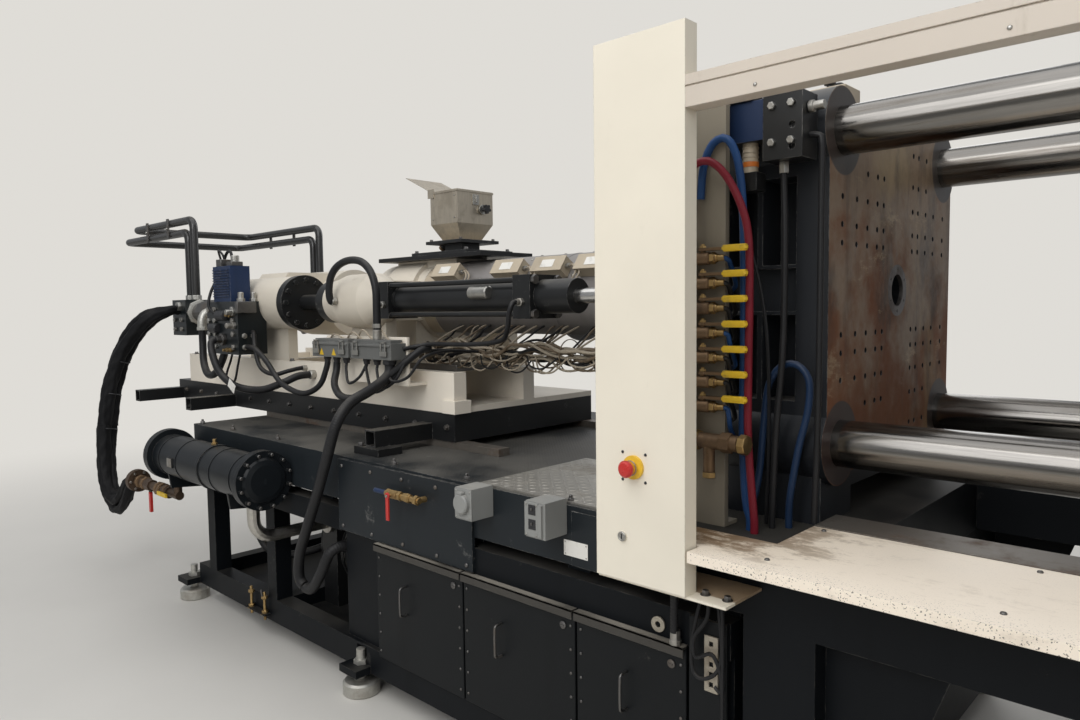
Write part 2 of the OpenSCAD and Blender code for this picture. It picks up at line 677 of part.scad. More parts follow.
module cooler_pipes() {
    x1 = cooler_x0 + cooler_len - 90;
    color([0.7, 0.69, 0.66]) {
        hose(concat([[x1, -cooler_y, cooler_h - cooler_r + 6]],
            [for (a = [0 : 15 : 90])
                [x1, -cooler_y + 90 - 90 * cos(a), cooler_h - 190 - 90 * sin(a)]],
            [[x1, -600, cooler_h - 280]]), 28, 12);
        rod_y(-610, -590, x1, cooler_h - 280, 50, 32);
        rod_z(cooler_h - cooler_r - 16, cooler_h - cooler_r + 4, x1, -cooler_y, 45, 32);
    }
    x0 = cooler_x0 + 70;
    z0 = oil_z;
    color([0.45, 0.38, 0.28]) {
        rod_z(z0, cooler_h - cooler_r + 3, x0, -cooler_y, 20, 24);
        rod_x(oil_x, x0 + 20, -cooler_y, z0, 22, 24);
        rod_x(oil_x, oil_x + 40, -cooler_y, z0, 62, 32);
        for (x = [cooler_x0 - 100, cooler_x0 - 340])
            rod_x(x, x + 70, -cooler_y, z0, 32, 8);
    }
    color([0.7, 0.1, 0.1]) {
        rod_z(z0 - 44, z0, cooler_x0 - 305, -cooler_y - 0.01, 9, 16);
        span([cooler_x0 - 316, -cooler_y - 7, z0 - 150], [cooler_x0 - 294, -cooler_y + 7, z0 - 40]);
    }
    color([0.95, 0.75, 0.1]) {
        rod_y(-cooler_y - 46, -cooler_y, cooler_x0 - 65, z0, 8, 16);
        span([cooler_x0 - 73, -cooler_y - 54, z0 - 10], [cooler_x0 + 40, -cooler_y - 44, z0 + 10]);
    }
}

module air_valve() {
    z = deck_h - 88;
    y = -half_w - sheet_t - 34;
    x = x_closed + 380;
    color([0.72, 0.58, 0.32]) {
        rod_y(y, -half_w - sheet_t - 0.01, x + 190, z, 11, 24);
        rod_x(x, x + 201, y, z, 11, 24);
        rod_x(x + 15, x + 75, y, z, 17, 8);
        rod_x(x + 110, x + 150, y, z, 16, 6);
        rod_y(y - 24, y, x + 45, z, 7, 16);
    }
    color([0.12, 0.35, 0.65]) rod_x(x - 70, x, y, z, 9, 24);
}

module air_valve_handle() color([0.75, 0.12, 0.1]) {
    z = deck_h - 88;
    y = -half_w - sheet_t - 58 - seat;
    x = x_closed + 425;
    rod_y(y - 6, y, x, z, 12, 24);
    span([x - 8, y - 6, z - 92], [x + 8, y, z - 6]);
}

module outlet_boxes() color([0.55, 0.56, 0.55]) {
    y1 = -half_w - 0.01;
    x1 = skirt_end + 17;
    span([x1, y1 - 96, deck_h - 92], [x1 + 78, y1, deck_h + 12]);
    rod_y(y1 - 106, y1 - 95, x1 + 38, deck_h - 38, 34, 32);
    x2 = skirt_end + 340;
    difference() {
        span([x2, y1 - 96, deck_h - 90], [x2 + 80, y1, deck_h + 20]);
        for (z = [deck_h - 62, deck_h - 16])
            span([x2 + 18, y1 - 97, z], [x2 + 44, y1 - 84, z + 28]);
    }
    span([x2 + 56, y1 - 104, deck_h - 84], [x2 + 70, y1 - 95, deck_h + 14]);
}

module pump_motor() color([0.1, 0.11, 0.13]) {
    x = x_left + 790;
    z0 = beam_z + 40;
    rod_x(x, x + 480, -380, z0 + 260, 190, 48);
    for (i = [0 : 7]) rod_x(x + 60 + i * 45, x + 74 + i * 45, -380, z0 + 260, 200, 48);
    rod_x(x - 130, x + 1, -380, z0 + 260, 110, 48);
    for (dx = [60, 380])
        span([x + dx, -520, z0], [x + dx + 60, -240, z0 + 120]);
    span([x + 140, -470, z0 + 430], [x + 340, -290, frame_h - 60]);
    span([cooler_x0 + cooler_len - 150, -590 + seat, z0], [cooler_x0 + cooler_len - 30, -500, z0 + 460]);
    span([x + 40, -520, z0 + 180], [x + 100, -480, z0 + 300]);
}

module contact_rods() color([0.78, 0.78, 0.8])
    both_sides()
        translate([0, side_y, axis_h]) rotate([0, 90, 0])
            rotate_extrude($fn = 48)
                polygon([[0, contact_x0 + 400], [contact_bore_r - fit, contact_x0 + 400],
                    [contact_bore_r - fit, contact_x0 + 440], [contact_rod_r, contact_x0 + 440],
                    [contact_rod_r, face_x - rod_end], [38, face_x - rod_end],
                    [38, platen_back - 25], [62, platen_back - 25], [62, platen_back],
                    [0, platen_back]]);

module supply_hose() color([0.05, 0.05, 0.05]) hose(supply_route, 22, 10);

module carriage_frame() color([0.09, 0.1, 0.11]) {
    z1 = sub_z + sub_h;
    both_sides()
        span([car_x0, car_y - 70, sub_z], [car_x1, car_y, z1]);
    for (x = [car_x0, car_x0 + 740, car_x1 - 130])
        span([x, -car_y + 1, sub_z], [x + 70, car_y - 1, sub_z + 70]);
    span([car_x1 - 70, -car_y + 1, sub_z], [car_x1, car_y - 1, z1]);
    for (p = [[car_x0, 729], [car_x0 + 740, 717], [car_x1 - 220, 749]])
        difference() {
            span([p[0], -p[1], sub_z], [p[0] + 70, -car_y + 5, sub_z + 70]);
            span([p[0] + 6, -p[1] - 1, sub_z + 6], [p[0] + 64, -car_y - 20, sub_z + 64]);
        }
    span([car_x1 - rest_x, -rest_y, deck_h + seat],
        [car_x1 - rest_x + rest_l, -rest_y + rest_w, sub_z + 1]);
}

module carriage_base() color([0.88, 0.87, 0.84]) {
    span([white_x0, -car_y, plate_z], [car_x1, car_y, wall_z]);
    span([white_x0, -car_y, wall_z - 1], [car_x1, -car_y + wall_t, wall_top]);
    span([white_x0, car_y - wall_t, wall_z - 1], [housing_x1, car_y, wall_top]);
    span([housing_x0, -35, wall_z - 1], [car_x1, 35, wall_top]);
    span([car_x1 - 70, -car_y - 10, plate_z], [car_x1 + 14, -car_y + wall_t + 14, wall_z + 30]);
    for (x = [white_x0, housing_x0, drive_x0 - 160])
        span([x, -car_y + 1, wall_z - 1], [x + 60, car_y - 1, wall_top - 30]);
    span([housing_x0 + shelf_x0, -car_y - 90, wall_top - 60],
        [housing_x0 + shelf_x1, -car_y + 1, wall_top - 48]);
    span([housing_x0 + shelf_x0, -car_y - 102, wall_top - 60],
        [housing_x0 + shelf_x1, -car_y - 90, wall_top + shelf_up]);
}

module barrel_housing() color([0.88, 0.87, 0.84])
    difference() {
        union() {
            rod_x(housing_x0, cover_x0, 0, axis_h, housing_r - 20, 64);
            rod_x(housing_x0 + 120, cover_x0 - 60, 0, axis_h, housing_r, 64);
            span([housing_x0 + 90, -side_y, axis_h - 95], [cover_x0 - 20, side_y, axis_h + 95]);
            span([housing_x0 + 120, -housing_r + 20, wall_top], [cover_x0 - 40, housing_r - 20,
                axis_h]);
            both_sides() {
                translate([0, side_y, axis_h]) rotate([0, 90, 0])
                    rotate_extrude($fn = 64)
                        polygon([[0, boss_x0], [105, boss_x0], [112, boss_x0 + 50],
                            [128, boss_x0 + 120], [128, housing_x1 - 110],
                            [84, housing_x1 - 30], [84, housing_x1], [0, housing_x1]]);
                span([housing_x0 + 160, side_y - 60, wall_top], [housing_x1 - 60, side_y, axis_h]);
            }
            span([housing_x0 + 100, -throat_y, axis_h], [hopper_x + 70, throat_y, housing_top]);
        }
        rod_x(housing_x0 - 1, housing_x1 + 101, 0, axis_h, barrel_r + fit, 64);
        span([housing_x0, -half_w, housing_top], [housing_x1 + 101, half_w, housing_top + 40]);
        rod_z(axis_h, housing_top + 1, hopper_x, 0, 35, 32);
        both_sides()
            rod_x(boss_x0 - 1, boss_x0 + 90, side_y, axis_h, inject_rod_r + fit, 48);
    }

module barrel() color([0.35, 0.34, 0.33])
    difference() {
        translate([0, 0, axis_h]) rotate([0, 90, 0])
            rotate_extrude($fn = 64)
                polygon([[0, housing_x0 + 10], [barrel_r, housing_x0 + 10],
                    [barrel_r, platen_back - 60], [barrel_r - 4, platen_back - 60],
                    [barrel_r - 4, face_x - 290], [42, face_x - 230], [36, face_x - 180],
                    [36, face_x - 130], [24, face_x - 100], [0, face_x - 96]]);
        rod_x(housing_x0 + 9, face_x - 260, 0, axis_h, screw_r + fit, 48);
        rod_x(face_x - 262, face_x - 90, 0, axis_h, 5, 24);
        rod_z(axis_h, axis_h + barrel_r + 1, hopper_x, 0, 35, 32);
    }

// Half-open sheet wrapped round the barrel, with its closing rings
module barrel_cover() color([0.45, 0.49, 0.54])
    difference() {
        x1 = platen_back - 110;
        union() {
            translate([cover_x0, 0, axis_h]) rotate([0, 90, 0]) rotate([0, 0, 35])
                rotate_extrude(angle = 290, $fn = 72)
                    polygon([[cover_r - 5, 0], [cover_r, 0], [cover_r, x1 - cover_x0],
                        [cover_r - 5, x1 - cover_x0]]);
            for (x = [hopper_x + 90, x1 - 12, (cover_x0 + x1) / 2])
                difference() {
                    rod_x(x, x + 12, 0, axis_h, cover_r - 4, 64);
                    rod_x(x - 1, x + 13, 0, axis_h, barrel_r + fit, 64);
                }
            translate([cover_x0, 0, axis_h]) rotate([0, 90, 0]) rotate([0, 0, 35])
                rotate_extrude(angle = 290, $fn = 72)
                    polygon([[cover_r - 1, 0], [cover_r + 3, 0], [cover_r + 3, 85],
                        [cover_r - 1, 85]]);
        }
        span([cover_x0 - 1, -throat_y - 3, axis_h + 90], [hopper_x + 73, throat_y + 3,
            housing_top + 1]);
    }

module heater_boxes() color([0.72, 0.68, 0.58])
    for (dx = [12, 424, 668, 906, 1150])
        translate([housing_x1 + dx, 0, axis_h]) rotate([55, 0, 0])
            difference() {
                span([0, -35, cover_r + 0.2], [170, 35, cover_r + 52]);
                span([4, -31, cover_r + 6], [166, 31, cover_r + 48]);
            }

module hopper_base() color([0.08, 0.09, 0.1])
    difference() {
        span([hopper_x - 467, -170, housing_top], [hopper_x + 316, 170, housing_top + slide_t]);
        rod_z(housing_top - 1, housing_top + slide_t + 1, hopper_x, 0, 35, 32);
    }

module contact_cylinders() color([0.07, 0.07, 0.08])
    both_sides()
        difference() {
            union() {
                for (x = [contact_x0, contact_x0 + contact_len - 90])
                    span([x, side_y - head_size / 2, axis_h - head_size / 2],
                        [x + (x == contact_x0 ? 75 : 90), side_y + head_size / 2,
                            axis_h + head_size / 2]);
                rod_x(contact_x0, contact_x0 + contact_len - 1, side_y, axis_h, 62, 48);
                for (dy = [-1, 1], dz = [-1, 1])
                    rod_x(contact_x0 + 5, contact_x0 + contact_len + 12,
                        side_y + dy * (head_size / 2 - 18), axis_h + dz * (head_size / 2 - 18), 11, 16);
                rod_x(contact_x0 + contact_len - 5, contact_x0 + contact_len + 165, side_y,
                    axis_h, 64, 48);
            }
            rod_x(contact_x0 + 60, contact_x0 + contact_len - 40, side_y, axis_h,
                contact_bore_r, 48);
            rod_x(contact_x0 + contact_len - 45, contact_x0 + contact_len + 166, side_y, axis_h,
                contact_rod_r + fit, 48);
        }

module injection_rods() color([0.2, 0.2, 0.21])
    both_sides()
        translate([0, side_y, axis_h]) rotate([0, 90, 0])
            rotate_extrude($fn = 48)
                polygon([[0, drive_x1 - 170], [piston_r - fit, drive_x1 - 170],
                    [piston_r - fit, drive_x1 - 120], [inject_rod_r, drive_x1 - 120],
                    [inject_rod_r, boss_x0 - 70], [100, boss_x0 - 70], [104, boss_x0 - 64],
                    [104, boss_x0], [inject_rod_r, boss_x0], [inject_rod_r, boss_x0 + 85],
                    [0, boss_x0 + 85]]);

module connector_block() color([0.32, 0.33, 0.34]) {
    y1 = -car_y - 102 - 0.01;
    z0 = wall_top + 55;
    for (x = [housing_x0 + 130, housing_x0 + 450]) {
        span([x, y1 - 78, z0], [x + 300, y1, z0 + 70]);
        span([x + 14, y1 - 70, z0 + 69], [x + 286, y1 - 8, z0 + 84]);
        span([x + 30, y1 - 84, z0 + 12], [x + 60, y1 - 77, z0 + 50]);
        span([x + 240, y1 - 84, z0 + 12], [x + 270, y1 - 77, z0 + 50]);
    }
}

module carriage_hoses() color([0.05, 0.05, 0.05]) {
    hose(bundle_route, 62, 12);
    hose(arch_route, 17);
}

module hopper() {
    z0 = housing_top + slide_t + seat;
    zn = z0 + 15;
    zf = zn + neck_h;
    color([0.08, 0.09, 0.1])
        difference() {
            union() {
                span([hopper_x - 213, -150, z0], [hopper_x + 200, 150, zn]);
                span([hopper_x - 60, -60, zn - 1], [hopper_x + 60, 60, zf + 1]);
                span([hopper_x - 130, -125, zf], [hopper_x + 130, 125, zf + flange_t]);
            }
            rod_z(z0 - 1, zf + flange_t + 1, hopper_x, 0, 35, 32);
        }
    color([0.55, 0.53, 0.48])
        difference() {
            union() {
                translate([hopper_x, 0, zf + flange_t])
                    linear_extrude(cone_h, scale = [hopper_l / 130, hopper_w / 130], slices = 1)
                        square([130, 130], center = true);
                translate([hopper_x - hopper_l / 2, -hopper_w / 2, bin_z - 0.5])
                    cube([hopper_l, hopper_w, bin_h]);
            }
            translate([hopper_x, 0, zf + flange_t - 0.5])
                linear_extrude(cone_h + 1, scale = [(hopper_l - 8) / 120, (hopper_w - 8) / 120],
                    slices = 1)
                    square([120, 120], center = true);
            translate([hopper_x - hopper_l / 2 + 4, -hopper_w / 2 + 4, bin_z])
                cube([hopper_l - 8, hopper_w - 8, bin_h + 1]);
            rod_x(hopper_x + hopper_l / 2 - 10, hopper_x + hopper_l / 2 + 30, 40, bin_z + 70,
                10 + fit, 32);
        }
    color([0.55, 0.53, 0.48])
        difference() {
            for (s = [-1, 1])
                translate([lid_axis[0], s * (hopper_w / 2 + 2), lid_axis[2]])
                    span([-9, -2, -34], [36, 2, 9]);
            rod_y(-hopper_w, hopper_w, lid_axis[0], lid_axis[2], 4 + fit, 24);
        }
    color([0.5, 0.48, 0.44])
        translate([hopper_x - 70, 0, bin_z - 30]) rotate([0, -135, 0]) cylinder(h = 110, r = 20, $fn = 32);
}

lid_axis = [hopper_x - hopper_l / 2 - 7, 0, bin_z + bin_h + 4];

module hopper_lid() color([0.75, 0.74, 0.7])
    translate(lid_axis) rotate([0, -155, 0]) {
        span([2, -hopper_w / 2 + seat, -2], [hopper_l + 6, hopper_w / 2 - seat, 0]);
        rod_y(-hopper_w / 2 - 4, hopper_w / 2 + 4, 0, 0, 4, 24);
    }

module hopper_knob() color([0.06, 0.06, 0.07]) {
    x0 = hopper_x + hopper_l / 2;
    rod_x(x0 - 3, x0 + 36, 40, bin_z + 70, 10, 32);
    translate([x0 + 30, 40, bin_z + 70]) rotate([0, 90, 0]) {
        cylinder(h = 16, r = 15, $fn = 32);
        for (a = [0 : 72 : 359])
            rotate([0, 0, a]) translate([16, 0, 0]) cylinder(h = 16, r = 7, $fn = 24);
    }
}

module drive_housing() color([0.88, 0.87, 0.84])
    difference() {
        union() {
            both_sides() {
                rod_x(drive_x0, drive_x1, side_y, axis_h, inject_r, 64);
                span([drive_x0 + 40, side_y - 40, wall_top + seat], [drive_x1 - 120, side_y + 15,
                    axis_h]);
            }
            rod_x(drive_x0, drive_x1 - 140, 0, axis_h, 190, 64);
            span([drive_x0 + 60, -side_y, axis_h - 100], [drive_x1 - 160, side_y, axis_h + 100]);
            translate([drive_x0 + 60, 0, axis_h]) rotate([90, 0, 90]) linear_extrude(300)
                polygon([[-side_y, 90], [-side_y + 60, inject_r + 30], [side_y - 60, inject_r + 30],
                    [side_y, 90], [side_y, 0], [-side_y, 0]]);
        }
        both_sides()
            rod_x(drive_x0 + 50, drive_x1 + 1, side_y, axis_h, piston_r, 64);
        rod_x(drive_x0 - 1, drive_x1 - 139, 0, axis_h, screw_r + 30, 48);
    }

module cylinder_heads() color([0.08, 0.08, 0.09])
    both_sides() {
        difference() {
            rod_x(drive_x1, drive_x1 + head_t, side_y, axis_h, inject_r + 3, 64);
            rod_x(drive_x1 - 1, drive_x1 + head_t + 1, side_y, axis_h, inject_rod_r + fit, 48);
        }
        bolts_x(drive_x1 + head_t - 1, drive_x1 + head_t + 12, side_y, axis_h, inject_r - 22, 13, 12);
    }

module screw_motor() color([0.1, 0.12, 0.14])
    difference() {
        union() {
            rod_x(drive_x0 - 420, drive_x0, 0, axis_h, 130, 64);
            rod_x(drive_x0 - 60, drive_x0, 0, axis_h, 185, 64);
            for (a = [0 : 72 : 359])
                translate([drive_x0 - 260, 0, axis_h]) rotate([a, 0, 0]) cylinder(h = 195, r = 62, $fn = 40);
            rod_x(drive_x0 - 480, drive_x0 - 419, 0, axis_h, 80, 48);
        }
        rod_x(drive_x0 - 200, drive_x0 + 1, 0, axis_h, screw_r + fit, 48);
    }

module injection_manifold() {
    color([0.1, 0.13, 0.15]) {
        span([drive_x0 - 880, -side_y - 80, axis_h - 190], [drive_x0 - 680, -side_y + 80, axis_h + 35]);
        difference() {
            span([drive_x0 + 40, -side_y - inject_r - 120, axis_h - 270],
                [drive_x0 + 400, -side_y - inject_r + 40, axis_h + 10]);
            rod_x(drive_x0 - 1, drive_x1, -side_y, axis_h, inject_r + fit, 64);
        }
    }
    color([0.4, 0.41, 0.42]) {
        rod_x(drive_x0 - 681, drive_x0 - 0.01, -side_y, axis_h - 45, 58, 48);
        rod_x(drive_x0 - 560, drive_x0 - 330, -side_y, axis_h - 45, 76, 8);
    }
    color([0.12, 0.25, 0.5])
        span([drive_x0 + 120, -side_y - inject_r - 115, axis_h + 10],
            [drive_x0 + 320, -side_y - inject_r - 5, axis_h + 200]);
}

pipe_rise = 545;             // inner pipe above the axis
pipe_step = 75;              // outer pipe below the inner one
up_inner = 700;              // rising pipes behind the drive block
up_outer = 780;
down_inner = 640;            // their far ends
down_outer = 720;
back_inner = 5152;           // rear bends, from the mould face
back_outer = 5327;
pipe_bar = 800;
pipe_high = axis_h + pipe_rise;
module pipe_loop(x_up, x_back, x_far, z, r) {
    b = 60;
    yn = -side_y;
    rod_z(axis_h + 35, z - b, x_up, yn, r, 24);
    translate([x_up - b, yn, z - b]) rotate([90, 0, 0])
        rotate_extrude(angle = 90, $fn = 48) translate([b, 0]) circle(r = r, $fn = 24);
    rod_x(x_back + b, x_up - b, yn, z, r, 24);
    translate([x_back + b, yn + b, z]) rotate([0, 0, 180])
        rotate_extrude(angle = 90, $fn = 48) translate([b, 0]) circle(r = r, $fn = 24);
    rod_y(yn + b, side_y - b, x_back, z, r, 24);
    translate([x_back + b, side_y - b, z]) rotate([0, 0, 90])
        rotate_extrude(angle = 90, $fn = 48) translate([b, 0]) circle(r = r, $fn = 24);
    rod_x(x_back + b, x_far - b, side_y, z, r, 24);
    translate([x_far - b, side_y, z - b]) rotate([90, 0, 0])
        rotate_extrude(angle = 90, $fn = 48) translate([b, 0]) circle(r = r, $fn = 24);
    rod_z(axis_h + 20, z - b, x_far, side_y, r, 24);
}

module crossover_pipes() color([0.05, 0.05, 0.06]) {
    pipe_loop(drive_x0 - up_inner, face_x - back_inner, drive_x0 - down_inner, pipe_high, 25);
    pipe_loop(drive_x0 - up_outer, face_x - back_outer, drive_x0 - down_outer,
        pipe_high - pipe_step, 25);
    rod_x(drive_x0 - pipe_bar, drive_x0 - 0.01, side_y, axis_h, 50, 48);
}

// Core and flight of the screw as one turning section
module flighted(length, r, core, turns, steps) {
    n = turns * steps;
    section = concat([[r, -6], [r, 6]], [for (a = [45 : 45 : 315]) [core * cos(a), core * sin(a)]]);
    m = len(section);
    points = [for (i = [0 : n], q = section)
        let (t = i * 360 / steps)
            [q[0] * cos(t) - q[1] * sin(t), q[0] * sin(t) + q[1] * cos(t), length * i / n]];
    walls = [for (i = [0 : n - 1], k = [0 : m - 1])
        let (k2 = (k + 1) % m) each
            [[i * m + k, (i + 1) * m + k2, i * m + k2], [i * m + k, (i + 1) * m + k, (i + 1) * m + k2]]];
    ends = [[for (k = [0 : m - 1]) k], [for (k = [m - 1 : -1 : 0]) n * m + k]];
    polyhedron(points, concat(walls, ends), convexity = 8);
}

module screw() color([0.6, 0.6, 0.58]) {
    x0 = drive_x0 - 190;
    xf = housing_x0 + 150;
    x1 = face_x - 560;
    core = screw_r - 12;
    translate([0, 0, axis_h]) rotate([0, 90, 0])
        rotate_extrude($fn = 48)
            polygon([[0, x0], [screw_r, x0], [screw_r, xf], [0, xf]]);
    translate([xf - 0.5, 0, axis_h]) rotate([0, 90, 0])
        flighted(x1 - xf, screw_r - 0.8, core, 14, 8);
    translate([x1 - 1, 0, axis_h]) rotate([0, 90, 0])
        rotate_extrude($fn = 48) polygon([[0, 0], [core - 4, 0], [core - 8, 40], [0, 80]]);
}

base_frame();
clamp_base();
leveling_feet();
access_panels();
bed();
tread_plate();
guide_rails();
side_shelves();
guard_post();
guard_beam();
estop_collar();
estop_button();
gate();
gate_window();
fixed_platen();
locating_ring();
tie_bars();
moving_platen();
tie_bar_locks();
ejector();
clamp_manifold();
hose_column();
water_manifold();
valve_handle(0);  // valve_handle_1
valve_handle(1);  // valve_handle_2
valve_handle(2);  // valve_handle_3
valve_handle(3);  // valve_handle_4
valve_handle(4);  // valve_handle_5
valve_handle(5);  // valve_handle_6
valve_handle(6);  // valve_handle_7
water_hoses();
cooler_shell();
cooler_covers();
cooler_pipework();
air_valve();
air_valve_handle();
outlet_boxes();
pump_motor();
contact_rods();
supply_hose();
carriage_frame();
carriage_base();
barrel_housing();
barrel();
barrel_cover();
heater_boxes();
hopper_base();
contact_cylinders();
injection_rods();
connector_block();
carriage_hoses();
hopper();
hopper_lid();
hopper_knob();
drive_housing();
cylinder_heads();
screw_motor();
injection_manifold();
crossover_pipes();
screw();
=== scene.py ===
import logging
import math
from dataclasses import dataclass, field
from enum import Enum
from typing import Callable, Dict, List, Optional, Sequence, Tuple, Union

import bmesh
import bpy
import numpy as np
from mathutils import Matrix


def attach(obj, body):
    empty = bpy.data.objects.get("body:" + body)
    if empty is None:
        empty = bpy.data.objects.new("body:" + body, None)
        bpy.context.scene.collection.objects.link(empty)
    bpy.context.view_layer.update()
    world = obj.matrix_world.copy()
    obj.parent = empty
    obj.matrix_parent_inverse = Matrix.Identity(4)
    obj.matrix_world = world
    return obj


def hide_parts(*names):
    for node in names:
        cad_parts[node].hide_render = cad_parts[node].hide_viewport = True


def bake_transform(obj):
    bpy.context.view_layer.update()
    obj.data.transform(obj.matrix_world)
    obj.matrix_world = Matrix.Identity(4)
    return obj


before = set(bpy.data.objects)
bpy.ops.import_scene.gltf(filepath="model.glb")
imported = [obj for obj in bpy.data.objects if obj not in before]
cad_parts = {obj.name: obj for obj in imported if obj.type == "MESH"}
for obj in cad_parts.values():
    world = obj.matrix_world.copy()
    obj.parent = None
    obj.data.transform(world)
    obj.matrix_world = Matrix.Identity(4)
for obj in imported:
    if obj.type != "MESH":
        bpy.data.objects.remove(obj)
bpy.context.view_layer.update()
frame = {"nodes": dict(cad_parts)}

LOG = logging.getLogger("moulding_machine")
Colour = Tuple[float, float, float]
Point = Tuple[float, float, float]
Values = Union[float, Sequence[float], np.ndarray]
ORIGIN: Point = (0.0, 0.0, 0.0)
EVEN: Point = (1.0, 1.0, 1.0)
WIDE = 99.0
EDGE_GAIN = 3.4
AXIS_H = 1.591
FACE_X = 1.572


# ------------ shader maths

def operator(operation: str, flip: bool = False) -> Callable[["Wire", "Level"], "Wire"]:
    """A Math node's operation as a method that joins a wire and another value.

    Args:
        operation: the Math node's operation.
        flip: whether the other value comes first.
    Returns:
        The method.
    """
    def join(wire: "Wire", other: "Level") -> "Wire":
        """The Math node's output."""
        pair = (other, wire) if flip else (wire, other)
        return wire.shop.node("Math", {0: pair[0], 1: pair[1]}, operation=operation)
    return join


class Wire:
    """A node's output, used as a number or colour in Python expressions."""

    def __init__(self, shop: "Shop", socket: bpy.types.NodeSocket) -> None:
        """Keep the shop that makes nodes and the socket that this wire leaves from."""
        self.shop, self.socket = shop, socket

    __add__, __radd__ = operator("ADD"), operator("ADD", True)
    __sub__, __rsub__ = operator("SUBTRACT"), operator("SUBTRACT", True)
    __mul__, __rmul__ = operator("MULTIPLY"), operator("MULTIPLY", True)
    __pow__, most = operator("POWER"), operator("MAXIMUM")
    above, below = operator("GREATER_THAN"), operator("LESS_THAN")

    def wave(self) -> "Wire":
        """Sine of this value in radians."""
        return self.shop.node("Math", {0: self}, operation="SINE")

    def step(self, low: float, high: float) -> "Wire":
        """Smooth step from 0 at low to 1 at high; low may be the larger.

        Args:
            low: the value that gives 0.
            high: the value that gives 1.
        Returns:
            The step.
        """
        flip = low > high
        rise = self.shop.node(
            "MapRange", {"Value": self, "From Min": min(low, high), "From Max": max(low, high)},
            interpolation_type="SMOOTHSTEP")
        return 1.0 - rise if flip else rise


Level = Union[float, Wire]
Tint = Union[Colour, Wire]


@dataclass
class Surface:
    """What one finish gives the shader: colour, roughness, metal share and normal."""

    colour: Tint
    rough: Level
    metal: Level = 0.0
    normal: Optional[Wire] = None


